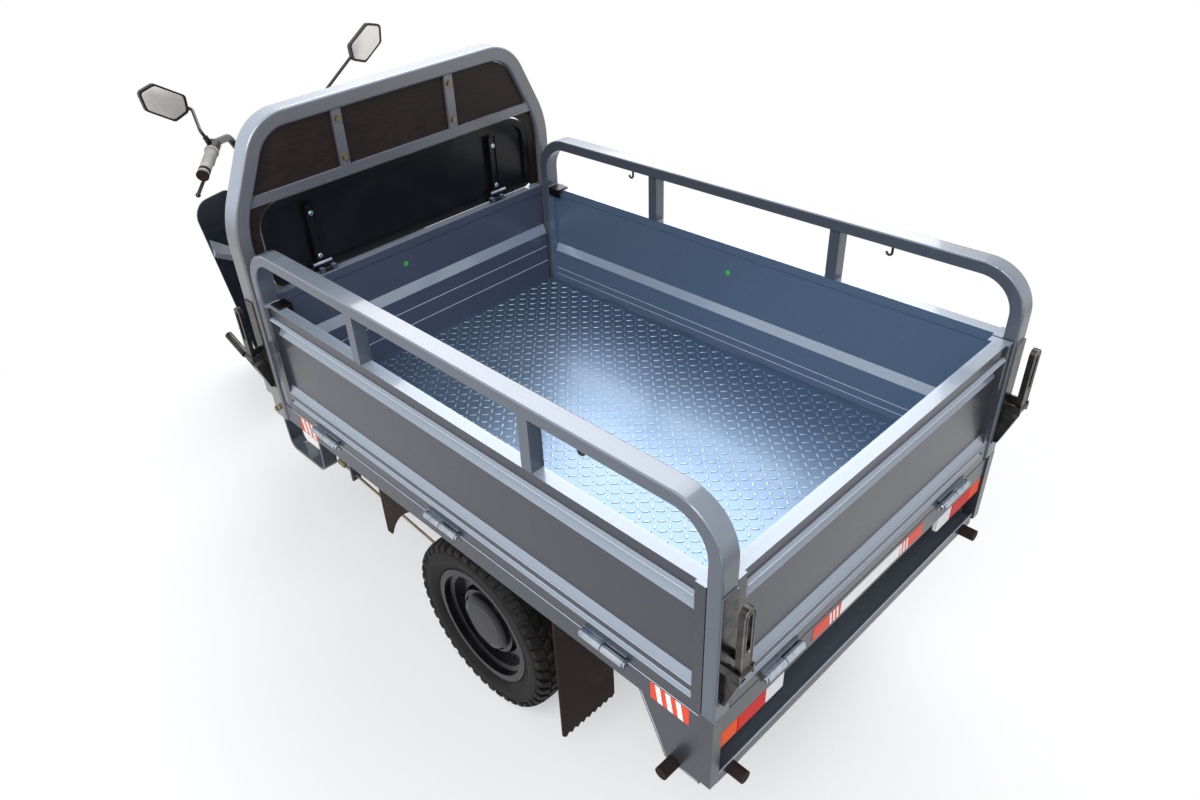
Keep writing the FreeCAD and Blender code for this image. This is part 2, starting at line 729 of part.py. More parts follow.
def frame_bars(inset):
    """Round bars of the front frame, or with an inset the hollow inside them."""
    x = HOOP_X + 10 + BEARER_W / 2
    side = round_pipe(
        ((x, FRAME_TUBE_Y, RAIL_LOW), (x, FRAME_TUBE_Y, FRAME_Z), (FRAME_NOSE_X, FRAME_TUBE_Y, FRAME_Z)),
        (FRAME_BEND,), FRAME_TUBE_R - inset)
    reach = FRAME_TUBE_Y + 1.5 * FRAME_TUBE_R
    nose = rod((FRAME_NOSE_X, -reach, FRAME_Z), (FRAME_NOSE_X, reach, FRAME_Z), FRAME_NOSE_R - inset)
    start = V(FRAME_NOSE_X, 0, FRAME_Z)
    end = on_steering(0, 0, (YOKE_LOW + YOKE_T + YOKE_HIGH) / 2)
    if inset:
        end -= (end - start).normalize() * (HEAD_R + FRAME_DOWN_R)
    down = rod(start, end, FRAME_DOWN_R - inset)
    return fused([side, mirrored(side), nose, down])


def bed_floor():
    rear = TAILGATE_X + GATE_FOOT + GATE_GAP / 2
    return box((rear, BOARD_X - GATE_FOOT), (-FLOOR_HALF, FLOOR_HALF), (BEARER_TOP, HINGE_Z))


def hoop_band(half, place, depth):
    line = [
        (HOOP_HALF, SILL_LOW), (HOOP_HALF, HINGE_Z + HOOP_KINK), (HOOP_SHOULDER, HINGE_Z + HOOP_TOP),
        (-HOOP_SHOULDER, HINGE_Z + HOOP_TOP), (-HOOP_HALF, HINGE_Z + HOOP_KINK), (-HOOP_HALF, SILL_LOW)]
    bends = (HOOP_KINK_BEND, HOOP_TOP_BEND, HOOP_TOP_BEND, HOOP_KINK_BEND)
    return bent_band(line, bends, half, place, depth)


def headboard_hoop():
    """Bent rectangular tube over the front of the bed, with the parking lever ears."""
    outer = hoop_band(HOOP_FACE / 2, lambda y, z: V(HOOP_X, y, z), AXIS_X * HOOP_DEPTH)
    outer = rounded_long_edges(outer, 6, SILL_LOW)
    inner = hoop_band(
        HOOP_FACE / 2 - TUBE_WALL, lambda y, z: V(HOOP_X + TUBE_WALL, y, z),
        AXIS_X * (HOOP_DEPTH - 2 * TUBE_WALL))
    pivot = V(*PARK_PIVOT)
    pieces = [outer.cut(inner)]
    inner = PARK_R + EYE_PROUD + AIR
    for y in (pivot.y - inner - EAR_T, pivot.y + inner):
        span = (HOOP_FRONT - 1, pivot.x + 14)
        pieces.append(box(span, (y, y + EAR_T), (pivot.z - 20, pivot.z + 20)))
    reach = inner + EAR_T
    pieces.append(cross_pin(pivot, reach, LATCH_PIN_R))
    return fused(pieces)


def hoop_crossbar():
    """Crossbar between the hoop legs and the two straps above it."""
    solid_hoop = hoop_band(HOOP_FACE / 2, lambda y, z: V(HOOP_X, y, z), AXIS_X * HOOP_DEPTH)
    top = HINGE_Z + CROSSBAR_TOP
    x = HOOP_X + 6
    bar = box((x, x + CROSSBAR_H), (-BED_HALF, BED_HALF), (top - CROSSBAR_H, top)).cut(solid_hoop)
    bar = max(bar.Solids, key=lambda solid: solid.Volume)
    pieces = [bar]
    under = HINGE_Z + HOOP_TOP - HOOP_FACE / 2
    for y in (-STRAP_Y, STRAP_Y):
        pieces.append(box((x, x + STRAP_T), (y - STRAP_W / 2, y + STRAP_W / 2), (top, under)))
    return pieces


def upper_back_panel():
    """Dark board behind the straps, following the hoop with an even gap."""
    inset = HOOP_FACE / 2 + BACK_BOARD_GAP
    lean = (HOOP_HALF - HOOP_SHOULDER) / (HOOP_TOP - HOOP_KINK)
    low = CROSSBAR_TOP + 1
    high = HOOP_TOP - inset
    across = inset * math.hypot(1, lean)
    wide_low = HOOP_HALF - lean * (low - HOOP_KINK) - across
    wide_high = HOOP_HALF - lean * (high - HOOP_KINK) - across
    x = HOOP_X + 6 + STRAP_T
    corners = [
        (x, -wide_low, HINGE_Z + low), (x, wide_low, HINGE_Z + low),
        (x, wide_high, HINGE_Z + high), (x, -wide_high, HINGE_Z + high)]
    bend = HOOP_TOP_BEND - inset
    return rounded_plate(corners, (3, 3, bend, bend), AXIS_X * BACK_BOARD_T)


def lower_back_panel():
    """Strip of dark board between the left hoop leg and the rounded edge of the backrest."""
    x = HOOP_X + 6 + STRAP_T
    low = HINGE_Z + GATE_TOP + BACK_BOARD_GAP
    high = HINGE_Z + CROSSBAR_TOP - CROSSBAR_H - 1
    inner = REST_HALF - 0.7 * REST_CORNER
    strip = box((x, x + BACK_BOARD_T), (inner, HOOP_HALF), (low, high))
    solid_hoop = hoop_band(HOOP_FACE / 2, lambda y, z: V(HOOP_X, y, z), AXIS_X * HOOP_DEPTH)
    wide = REST_CORNER + REST_CLEAR
    room = rounded_plate(rest_outline(x - 1, -REST_CLEAR), (1, 1, wide, wide), AXIS_X * (BACK_BOARD_T + 2))
    strip = strip.cut(solid_hoop).cut(room)
    return max(strip.Solids, key=lambda solid: solid.Volume)


# Rear end

def rear_posts():
    """Lower corner posts with their welded gusset plates."""
    low = POST_LOW
    high = HINGE_Z - GATE_GAP / 2
    post = box((0, POST_D), (POST_IN, BED_HALF), (low, high))
    post = post.cut(box(
        (TUBE_WALL, POST_D - TUBE_WALL), (POST_IN + TUBE_WALL, BED_HALF - TUBE_WALL),
        (low - 1, high - TUBE_WALL)))
    y = BED_HALF - 2 * GUSSET_T
    corners = [
        (POST_D, y, SILL_LOW), (POST_D, y, GUSSET_LOW), (POST_D + GUSSET_FOOT, y, GUSSET_LOW),
        (POST_D + GUSSET_LEN, y, SILL_LOW)]
    gusset = plate(corners, AXIS_Y * GUSSET_T)
    return both_sides(fused([post, gusset]))


def rear_bumper():
    """Long open channel between the rear posts, with a lip along its edge."""
    half = POST_IN
    rear = TAILGATE_X + 1
    front = rear + BUMPER_D
    low = POST_LOW
    base = box((rear, front), (-half, half), (low, low + BUMPER_T))
    web = box((front - BUMPER_T, front), (-half, half), (low, RAIL_LOW))
    lip = box((rear, rear + BUMPER_T), (-half, half), (low - BUMPER_LIP, low + BUMPER_LIP))
    return fused([base, web, lip])


def gate_rest(pin_down):
    """How far a hanging gate stands out from its pin at a given depth below the pin."""
    lean = math.radians(180 - GATE_DROP)
    return PIN_OUT * math.cos(lean) + pin_down * math.sin(lean)


def rubber_buffers():
    """Stops that the hanging sides and tailgate come to rest on."""
    pieces = []
    down = PIN_Z - BUFFER_Z - BUFFER_R
    tip = BED_HALF + PIN_OUT + gate_rest(down) - 2
    root = BED_HALF - GUSSET_T
    side = rod((BUFFER_X, root, BUFFER_Z), (BUFFER_X, tip, BUFFER_Z), BUFFER_R)
    pieces += both_sides(side)
    z = POST_LOW - BUMPER_LIP / 2
    tail_down = PIN_Z - z - BUFFER_R
    tail_tip = TAILGATE_X - PIN_OUT - gate_rest(tail_down) + 2
    tail = rod((TAILGATE_X + 1, BUFFER_Y, z), (tail_tip, BUFFER_Y, z), BUFFER_R)
    pieces += both_sides(tail)
    return pieces


def tail_lamp_housings():
    front = TAILGATE_X + 1 + BUMPER_D - BUMPER_T
    top = SILL_LOW
    shell = box((TAILGATE_X + LAMP_LENS_T, front), (LAMP_IN, LAMP_OUT), (top - LAMP_H, top))
    return both_sides(shell)


def tail_lamp_lenses():
    """Amber, red and clear lenses side by side, outermost first."""
    pieces = []
    top = SILL_LOW
    for inner, outer in ((LAMP_RED, LAMP_OUT), (LAMP_CLEAR, LAMP_RED), (LAMP_IN, LAMP_CLEAR)):
        lens = box((TAILGATE_X, TAILGATE_X + LAMP_LENS_T), (inner, outer), (top - LAMP_H, top))
        rear = [edge for edge in lens.Edges if edge.BoundBox.XMax < TAILGATE_X + 0.1]
        pieces += both_sides(lens.makeFillet(4, rear))
    return pieces


def mudflaps():
    """Flap behind each wheel with a toothed edge, and a bracket plate ahead of it."""
    pieces = []
    low, high = FLAP_LOW, RAIL_LOW + RAIL_H
    width = FLAP_Y[1] - FLAP_Y[0]
    inner = RAIL_Y + RAIL_W / 2
    pitch = width / FLAP_TEETH
    corners = [(FLAP_X, FLAP_Y[0], low + pitch / 2)]
    for tooth in range(FLAP_TEETH):
        y = FLAP_Y[0] + tooth * pitch
        corners.append((FLAP_X, y + pitch / 2, low))
        corners.append((FLAP_X, y + pitch, low + pitch / 2))
    corners += [
        (FLAP_X, FLAP_Y[1], SILL_LOW), (FLAP_X, inner, SILL_LOW), (FLAP_X, inner, RAIL_LOW - 4),
        (FLAP_X, FLAP_Y[0], RAIL_LOW - 4)]
    pieces += both_sides(plate(corners, AXIS_X * FLAP_T))
    y = SILL_IN + FLAP_T
    bracket = box(ARCH_X, (y, y + FLAP_T), (ARCH_LOW, SILL_LOW))
    arch = rod((REAR_AXLE_X, y - 1, TYRE_R), (REAR_AXLE_X, y + FLAP_T + 1, TYRE_R), TYRE_R + ARCH_GAP)
    pieces += both_sides(bracket.cut(arch))
    return pieces


def side_steps():
    """Bent loop under each front corner to step on."""
    line = [
        (STEP_X[0], SILL_LOW), (STEP_TREAD_X[0], STEP_LOW + STEP_T / 2),
        (STEP_TREAD_X[1], STEP_LOW + STEP_T / 2), (STEP_X[1], SILL_LOW)]
    y = BED_HALF - STEP_W
    band = bent_band(
        line, (STEP_BEND, STEP_BEND), STEP_T / 2, lambda x, z: V(x, y, z), AXIS_Y * STEP_W)
    below = box((STEP_X[0] - 50, STEP_X[1] + 50), (y - 1, BED_HALF + 1), (0, SILL_LOW))
    return both_sides(band.common(below))


def floorboard():
    half = FLOORBOARD_HALF
    return box((SEAT_X[0], FLOORBOARD_END), (-half, half), (FLOORBOARD_TOP - FLOORBOARD_T, FLOORBOARD_TOP))


def legshield():
    """Curved shield ahead of the rider's legs, narrower at the foot."""
    half = SHIELD_HALF_TOP
    back = SHIELD_X - SHIELD_T
    outer = Part.Arc(V(back - SHIELD_SWEEP, -half, 0), V(SHIELD_X, 0, 0), V(back - SHIELD_SWEEP, half, 0))
    inner = Part.Arc(
        V(back - SHIELD_SWEEP - SHIELD_T, half, 0), V(back, 0, 0),
        V(back - SHIELD_SWEEP - SHIELD_T, -half, 0))
    edges = [outer.toShape(), inner.toShape()]
    for y in (-half, half):
        start = V(back - SHIELD_SWEEP, y, 0)
        edges.append(Part.LineSegment(start, start - AXIS_X * SHIELD_T).toShape())
    sheet = Part.Face(Part.Wire(Part.__sortEdges__(edges)))
    sheet.translate(AXIS_Z * FLOORBOARD_TOP)
    wall = sheet.extrude(AXIS_Z * (SHIELD_TOP - FLOORBOARD_TOP))
    x = back - SHIELD_SWEEP - 4 * SHIELD_T
    outline = [
        (x, -SHIELD_HALF_LOW, FLOORBOARD_TOP), (x, SHIELD_HALF_LOW, FLOORBOARD_TOP),
        (x, SHIELD_HALF_TOP, SHIELD_TOP), (x, SHIELD_DIP_HALF + SHIELD_DIP, SHIELD_TOP),
        (x, SHIELD_DIP_HALF, SHIELD_TOP - SHIELD_DIP), (x, -SHIELD_DIP_HALF, SHIELD_TOP - SHIELD_DIP),
        (x, -SHIELD_DIP_HALF - SHIELD_DIP, SHIELD_TOP), (x, -SHIELD_HALF_TOP, SHIELD_TOP)]
    bends = (20, 20, SHIELD_CORNER, SHIELD_DIP, SHIELD_DIP, SHIELD_DIP, SHIELD_DIP, SHIELD_CORNER)
    trim = rounded_plate(outline, bends, AXIS_X * (4 * SHIELD_SWEEP))
    return wall.common(trim)


# Seat and backrest

def seat_pivot():
    return V(SEAT_X[1] + 2 * SEAT_PIN_R, 0, SEAT_BASE_TOP)


def seat_base():
    """Open-topped box that holds the battery, with the ears of the seat hinge."""
    outer = box(SEAT_X, (-SEAT_HALF, SEAT_HALF), (FLOORBOARD_TOP, SEAT_BASE_TOP))
    wall = SEAT_WALL
    inner = box(
        (SEAT_X[0] + wall, SEAT_X[1] - wall), (-SEAT_HALF + wall, SEAT_HALF - wall),
        (FLOORBOARD_TOP + wall, SEAT_BASE_TOP + 1))
    pin = seat_pivot()
    pieces = [outer.cut(inner)]
    for y in (-SEAT_HALF / 2, SEAT_HALF / 2):
        ear = box((SEAT_X[1] - 1, pin.x), (y - REST_EAR, y + REST_EAR), (pin.z - 30, pin.z))
        knuckle = rod((pin.x, y - REST_EAR, pin.z), (pin.x, y + REST_EAR, pin.z), 2 * SEAT_PIN_R)
        trim = box((SEAT_X[1] - 1, SEAT_X[1]), (y - REST_EAR, y + REST_EAR), (pin.z, pin.z + 20))
        pieces += [ear.fuse(knuckle).cut(trim)]
        pieces.append(rod((pin.x, y - 3 * REST_EAR, pin.z), (pin.x, y + 3 * REST_EAR, pin.z), SEAT_PIN_R))
    return fused(pieces)


def cushion(xs, ys, zs, crown, draw):
    """Padded block: crowned top and sides drawn in between its corners, lofted through rings."""
    rings = []
    bulge = ((0.0, 1.0), (0.25, 0.35), (0.6, 0.0), (0.9, 0.5), (1.0, 1.6))
    for share, inset in [(up, draw * part) for up, part in bulge]:
        z = zs[0] + share * (zs[1] - crown - zs[0])
        rings.append(cushion_ring(xs, ys, z, inset, draw))
    rings.append(cushion_ring(xs, ys, zs[1], draw * 1.6 + crown * 2.2, draw))
    return Part.makeLoft(rings, True, True)


def cushion_ring(xs, ys, z, inset, draw):
    """One level of a cushion: four sides that bow in a little between the corners."""
    low_x, high_x = xs[0] + inset, xs[1] - inset
    low_y, high_y = ys[0] + inset, ys[1] - inset
    corners = [V(low_x, low_y, z), V(high_x, low_y, z), V(high_x, high_y, z), V(low_x, high_y, z)]
    bows = [V(0, draw, 0), V(-draw, 0, 0), V(0, -draw, 0), V(draw, 0, 0)]
    edges = []
    for start, end, bow in zip(corners, corners[1:] + corners[:1], bows):
        edges.append(Part.Arc(start, (start + end) * 0.5 + bow * 0.5, end).toShape())
    return Part.Wire(edges)


def seat_cushion():
    """Seat pad on its pan, with the knuckles that turn on the seat hinge."""
    pin = seat_pivot()
    low = SEAT_BASE_TOP + AIR
    pan_x = (SEAT_X[0], SEAT_X[1] - SEAT_WALL)
    pan = box(pan_x, (-SEAT_HALF, SEAT_HALF), (low, low + SEAT_PAN_T))
    pieces = [pan]
    for y in (-SEAT_HALF / 2, SEAT_HALF / 2):
        for side in (-1, 1):
            start = y + side * (REST_EAR + AIR)
            end = y + side * 3 * REST_EAR
            span = (min(start, end), max(start, end))
            strap = box((pan_x[1] - 1, pin.x), span, (low, low + SEAT_PAN_T))
            knuckle = rod((pin.x, span[0], pin.z), (pin.x, span[1], pin.z), 2 * SEAT_PIN_R)
            bore = rod((pin.x, span[0] - 1, pin.z), (pin.x, span[1] + 1, pin.z), SEAT_PIN_R + RUN_FIT)
            clear = box((pin.x - 40, SEAT_X[1] + AIR), (span[0] - 1, span[1] + 1), (pin.z - 40, low))
            pieces.append(strap.fuse(knuckle).cut(bore).cut(clear))
    pan = fused(pieces)
    pad = cushion(
        (SEAT_X[0], SEAT_X[1] + 3), (-SEAT_HALF - 8, SEAT_HALF + 8),
        (low + SEAT_PAN_T + AIR, low + SEAT_PAN_T + SEAT_PAD_T), 16, 9)
    return [pan, pad]


def battery_pack():
    length, width, height = BATTERY
    x = SEAT_X[0] + SEAT_WALL + 10
    z = FLOORBOARD_TOP + SEAT_WALL
    return box((x, x + length), (-width / 2, width / 2), (z, z + height))


def motor_controller():
    length, width, height = CONTROLLER
    x = SEAT_X[0] + SEAT_WALL + 10 + BATTERY[0] - length
    z = FLOORBOARD_TOP + SEAT_WALL + BATTERY[2]
    base = box((x, x + length), (-width / 2, width / 2), (z, z + height / 2))
    fins = []
    for fin in range(8):
        y = -width / 2 + fin * (width - 6) / 7
        fins.append(box((x, x + length), (y, y + 6), (z + height / 2 - 1, z + height)))
    return fused([base] + fins)


def rest_pivot():
    return V(REST_X - REST_PIN_BACK, 0, HINGE_Z + GATE_TOP + REST_PIN_UP)


def rest_outline(x, inset):
    half = REST_HALF - inset
    low = HINGE_Z + REST_LOW + inset
    high = HINGE_Z + REST_HIGH - inset
    return [(x, -half, low), (x, half, low), (x, half, high), (x, -half, high)]


def backrest_panel():
    """Hard back of the driver's backrest with a raised rim, lugs and hinge pins."""
    x = REST_X
    radii = (25, 25, REST_CORNER, REST_CORNER)
    shell = rounded_plate(
        rest_outline(x + REST_RIM_T - REST_SHELL_T, 1), radii, AXIS_X * REST_SHELL_T)
    rim = rounded_plate(rest_outline(x, 0), radii, AXIS_X * REST_RIM_T)
    small = [radius - REST_RIM for radius in radii]
    rim = rim.cut(rounded_plate(rest_outline(x - 1, REST_RIM), small, AXIS_X * (REST_RIM_T + 2)))
    pin = rest_pivot()
    pieces = [shell, rim]
    half = REST_EAR - AIR
    for y in (-REST_HINGE_Y, REST_HINGE_Y):
        lug = box(
            (pin.x, x + REST_RIM_T / 2), (y - half, y + half), (pin.z - REST_PIN_R, pin.z + 2 * REST_EAR))
        end = rod((pin.x, y - half, pin.z), (pin.x, y + half, pin.z), REST_BOSS_R)
        reach = 2 * REST_EAR
        pieces += [lug, end, rod((pin.x, y - reach, pin.z), (pin.x, y + reach, pin.z), REST_PIN_R)]
    return fused(pieces)


def backrest_pad():
    """Padded front of the backrest."""
    x = REST_X + REST_RIM_T + AIR
    pad = cushion(
        (HINGE_Z + REST_LOW + 12, HINGE_Z + REST_PAD_HIGH), (-REST_PAD_HALF, REST_PAD_HALF),
        (0, REST_PAD_T), 14, 8)
    pad.rotate(V(0, 0, 0), AXIS_Y, 90)
    pad = pad.mirror(V(0, 0, 0), AXIS_Z)
    pad.translate(AXIS_X * x)
    return pad


# Wheels

def tyre(centre):
    """Hollow tyre whose beads sit between the rim flanges."""
    half = TYRE_W / 2
    bead = RIM_W / 2 - 5
    seat = BEAD_R + AIR
    right = [
        (seat, bead - 11), (seat, bead), (RIM_R + 1, bead), (RIM_R + 6, half - 8), (RIM_R + 38, half),
        (TYRE_R - 13, half - 4), (TYRE_R - 4, half - 12), (TYRE_R, half - 18), (TYRE_R, 12),
        (TYRE_R - 4, 10), (TYRE_R - 4, 5), (TYRE_R, 3)]
    left = [(radius, -across) for radius, across in reversed(right)]
    hollow = [
        (seat, -bead + 11), (RIM_R + 10, -half + 14), (RIM_R + 38, -half + 9), (TYRE_R - 16, -half + 16),
        (TYRE_R - 16, half - 16), (RIM_R + 38, half - 9), (RIM_R + 10, half - 14)]
    return turned(right + left + hollow, centre)


def rim(centre, outward):
    """Pressed rim with its disc, brake drum hub and round cap. The disc faces outward."""
    half = RIM_W / 2
    well = BEAD_R - 14
    section = [
        (RIM_R, -half), (RIM_R, -half + 4), (BEAD_R, -half + 4.5),
        (BEAD_R - 2, -half + 20), (well, -half + 26),
        (well, half - 26), (BEAD_R - 2, half - 20), (BEAD_R, half - 4.5), (RIM_R, half - 4), (RIM_R, half),
        (BEAD_R - 4, half), (BEAD_R - 6, half - 18), (well - 4, half - 23), (well - 4, -half + 23),
        (BEAD_R - 6, -half + 18), (BEAD_R - 4, -half)]
    barrel = turned(section, centre)
    edge = well - 4 - AIR
    foot = HAT_R + 2 * DISC_T
    disc_points = [
        (edge, DISC_T), (foot, DISC_T), (HAT_R, HAT_OUT + DISC_T), (HUB_BORE_R, HAT_OUT + DISC_T),
        (HUB_BORE_R, HAT_OUT), (HAT_R - DISC_T + 1, HAT_OUT), (foot - DISC_T + 1, 0), (edge, 0)]
    disc = turned([(radius, outward * across) for radius, across in disc_points], centre)
    return barrel, disc


def rear_wheel_metal(centre):
    """Rim, drum and hub cap of the left rear wheel."""
    barrel, disc = rim(centre, 1)
    disc = disc.cut(Part.makeCompound(disc_holes(centre)))
    boss = HUB_BORE_R - 1
    boss_out = HAT_OUT - 0.5
    drum = turned(
        [(AXLE_R + RUN_FIT, -DRUM_IN), (DRUM_R, -DRUM_IN), (DRUM_R, -3), (HUB_BORE_R + 10, 5),
         (boss, 5), (boss, boss_out), (AXLE_R + RUN_FIT, boss_out)], centre)
    seat = HAT_OUT + DISC_T + AIR
    cap = turned(
        [(0.01, seat), (HUB_CAP_R, seat), (HUB_CAP_R, seat + 8), (HUB_CAP_R - 6, seat + 13),
         (HUB_CAP_R - 20, seat + 15.5), (0.01, seat + 16)], centre)
    return [barrel, disc, drum, cap]


def disc_holes(centre):
    holes = []
    for index in range(8):
        angle = math.radians(45 * index)
        x = centre[0] + HOLE_RING_R * math.cos(angle)
        z = centre[2] + HOLE_RING_R * math.sin(angle)
        holes.append(rod((x, centre[1] - 20, z), (x, centre[1] + 40, z), DISC_HOLE_R))
    return holes


def rear_centre():
    return (REAR_AXLE_X, REAR_TRACK / 2, TYRE_R)


def front_centre():
    return (FRONT_AXLE_X, 0, TYRE_R)


def front_wheel_metal():
    """Front rim with a central disc and a hub on the fork axle."""
    centre = front_centre()
    barrel, disc = rim(centre, 1)
    disc = disc.cut(Part.makeCompound(disc_holes(centre)))
    core = HUB_BORE_R - AIR
    hub = turned(
        [(FRONT_AXLE_R + RUN_FIT, -46), (30, -46), (30, -20), (core, -14), (core, 30),
         (30, 34), (30, 46), (FRONT_AXLE_R + RUN_FIT, 46)], centre)
    return [barrel, disc, hub]


# Rear axle

def axle_housing():
    """Axle tube with its gear case, half shafts, backplates and spring seats."""
    x, y, z = rear_centre()
    end = y - 50
    tube = rod((x, -end, z), (x, end, z), AXLE_TUBE_R)
    case = Part.makeSphere(CASE_R, V(x, 0, z))
    reach = y + HAT_OUT - 2
    shafts = rod((x, -reach, z), (x, reach, z), AXLE_R)
    plate_half = end + 1.5
    back = rod((x, end - 6, z), (x, plate_half - AIR, z), DRUM_R - 2)
    seat_low = z + AXLE_TUBE_R - 12
    seat = box(
        (x - 45, x + 45), (SPRING_Y - SPRING_W / 2, SPRING_Y + SPRING_W / 2), (seat_low, z + AXLE_TUBE_R))
    return fused([tube, case, shafts] + both_sides(back) + both_sides(seat))


def drive_motor():
    """Motor beside the gear case, with cooling ribs."""
    x = REAR_AXLE_X + MOTOR_AHEAD
    half = MOTOR_LEN / 2
    z = TYRE_R + 18
    body = rod((x, -half, z), (x, half, z), MOTOR_R - 8)
    rings = []
    for index in range(9):
        y = -half + 20 + index * (MOTOR_LEN - 40) / 8
        rings.append(rod((x, y - 4, z), (x, y + 4, z), MOTOR_R))
    ends = [rod((x, side * half - 6, z), (x, side * half + 6, z), MOTOR_R) for side in (-1, 1)]
    solid = fused([body] + rings + ends)
    return solid.cut(axle_housing())


def leaf_spring():
    """Left leaf pack, clamped on the axle, its main leaf ending in two eyes."""
    base = TYRE_R + AXLE_TUBE_R + AIR
    top = base + SPRING_LEAVES * SPRING_LEAF_T
    rise = SPRING_EYE_Z - SPRING_EYE_R + SPRING_LEAF_T / 2 - top
    radius = (SPRING_HALF ** 2 + rise ** 2) / (2 * rise)
    pieces = []
    y = SPRING_Y - SPRING_W / 2
    for leaf in range(SPRING_LEAVES):
        reach = SPRING_HALF * (1 - 0.2 * leaf)
        under = radius + (leaf + 1) * SPRING_LEAF_T
        over = radius + leaf * SPRING_LEAF_T
        centre_z = top + radius
        angle = math.asin(reach / radius)
        points = []
        for bend in (over, under):
            points.append([
                V(REAR_AXLE_X + bend * math.sin(turn), y, centre_z - bend * math.cos(turn))
                for turn in (-angle, 0, angle)])
        upper, lower = points
        edges = [Part.Arc(*upper).toShape(), Part.Arc(*lower).toShape()]
        edges.append(Part.LineSegment(upper[0], lower[0]).toShape())
        edges.append(Part.LineSegment(upper[2], lower[2]).toShape())
        face = Part.Face(Part.Wire(Part.__sortEdges__(edges)))
        pieces.append(face.extrude(AXIS_Y * SPRING_W))
    for x in (REAR_AXLE_X - SPRING_HALF, REAR_AXLE_X + SPRING_HALF):
        pieces.append(rod((x, y, SPRING_EYE_Z), (x, y + SPRING_W, SPRING_EYE_Z), SPRING_EYE_R))
    clamp_half = 30
    for x in (REAR_AXLE_X - clamp_half, REAR_AXLE_X + clamp_half):
        pieces.append(box((x - 5, x + 5), (y - 1, y + SPRING_W + 1), (base, top + 10)))
    whole = fused(pieces)
    for x in (REAR_AXLE_X - SPRING_HALF, REAR_AXLE_X + SPRING_HALF):
        start = (x, y - 1, SPRING_EYE_Z)
        whole = whole.cut(rod(start, (x, y + SPRING_W + 1, SPRING_EYE_Z), SPRING_PIN_R + RUN_FIT))
    return whole


# Steering

def on_steering(ahead, across, up):
    """Point given along the steering axis, turned to the rake."""
    return STEER_BASE + STEER_TURN.multVec(V(ahead, across, up))


def steered(shape):
    return placed(shape, FreeCAD.Placement(STEER_BASE, STEER_TURN))


def fork_yokes():
    """Two yokes on the steering stem, the fixed fork tubes and the bar riser."""
    pieces = []
    reach = FORK_HALF + STANCHION_R + 10
    for low in (YOKE_LOW, YOKE_HIGH):
        corners = [
            (-HEAD_R, -40, low), (FORK_OFFSET + STANCHION_R + 6, -reach, low),
            (FORK_OFFSET + STANCHION_R + 6, reach, low), (-HEAD_R, 40, low),
        ]
        pieces.append(rounded_plate(corners, (12, 16, 16, 12), AXIS_Z * YOKE_T))
    pieces.append(rod((0, 0, YOKE_LOW), (0, 0, YOKE_HIGH + YOKE_T), STEM_R))
    foot = (FORK_OFFSET, FORK_HALF, STANCHION_LOW)
    tube = rod(foot, (FORK_OFFSET, FORK_HALF, YOKE_HIGH + YOKE_T), STANCHION_R)
    pieces += both_sides(tube)
    top = BAR_AT + BAR_R + 12
    riser = box((-16, 16), (-45, 45), (YOKE_HIGH + YOKE_T - 1, top))
    riser = riser.cut(box((-17, 17), (-22, 22), (YOKE_HIGH + YOKE_T + 40, top + 1)))
    riser = riser.cut(rod((0, -46, BAR_AT), (0, 46, BAR_AT), BAR_R))
    pieces.append(riser)
    return steered(fused(pieces))


def bar_points():
    """Corners of the left half of the handlebar, from its middle outwards."""
    middle = on_steering(0, 0, BAR_AT)
    return [middle + V(*point) for point in BAR_POINTS]


def handlebar():
    left = bar_points()
    right = [V(p.x, -p.y, p.z) for p in reversed(left)]
    return round_pipe(right + left, BAR_BENDS[::-1] + BAR_BENDS, BAR_R)


def grip_place():
    """Frame at the outer end of the left half of the bar: local Z runs outwards, local X forwards."""
    inner, outer = bar_points()[-2:]
    along = (outer - inner).normalize()
    ahead = (AXIS_X - along * AXIS_X.dot(along)).normalize()
    up = along.cross(ahead)
    turn = FreeCAD.Rotation(ahead, up, along, "ZXY")
    return FreeCAD.Placement(outer, turn)


def grip():
    """Moulded grip with an end flange, in the frame of the bar end."""
    body = Part.makeCylinder(GRIP_R, GRIP_LEN, V(0, 0, -GRIP_LEN))
    flange = Part.makeCylinder(GRIP_R + 4, 5, V(0, 0, -GRIP_LEN))
    end = Part.makeCylinder(GRIP_R - 2, 6, V(0, 0, 0))
    bore = Part.makeCylinder(BAR_R + RUN_FIT, GRIP_LEN + 2, V(0, 0, -GRIP_LEN - 2))
    return placed(fused([body, flange, end]).cut(bore), grip_place())


def lever_place():
    """The bar end's frame turned down about the bar, so that local X points along the lever's reach."""
    return grip_place().multiply(FreeCAD.Placement(V(0, 0, 0), FreeCAD.Rotation(AXIS_Z, LEVER_DOWN)))


def lever_pivot():
    return V(LEVER_OUT * 0.7, 0, -GRIP_LEN - PERCH_LEN / 2 - 1)


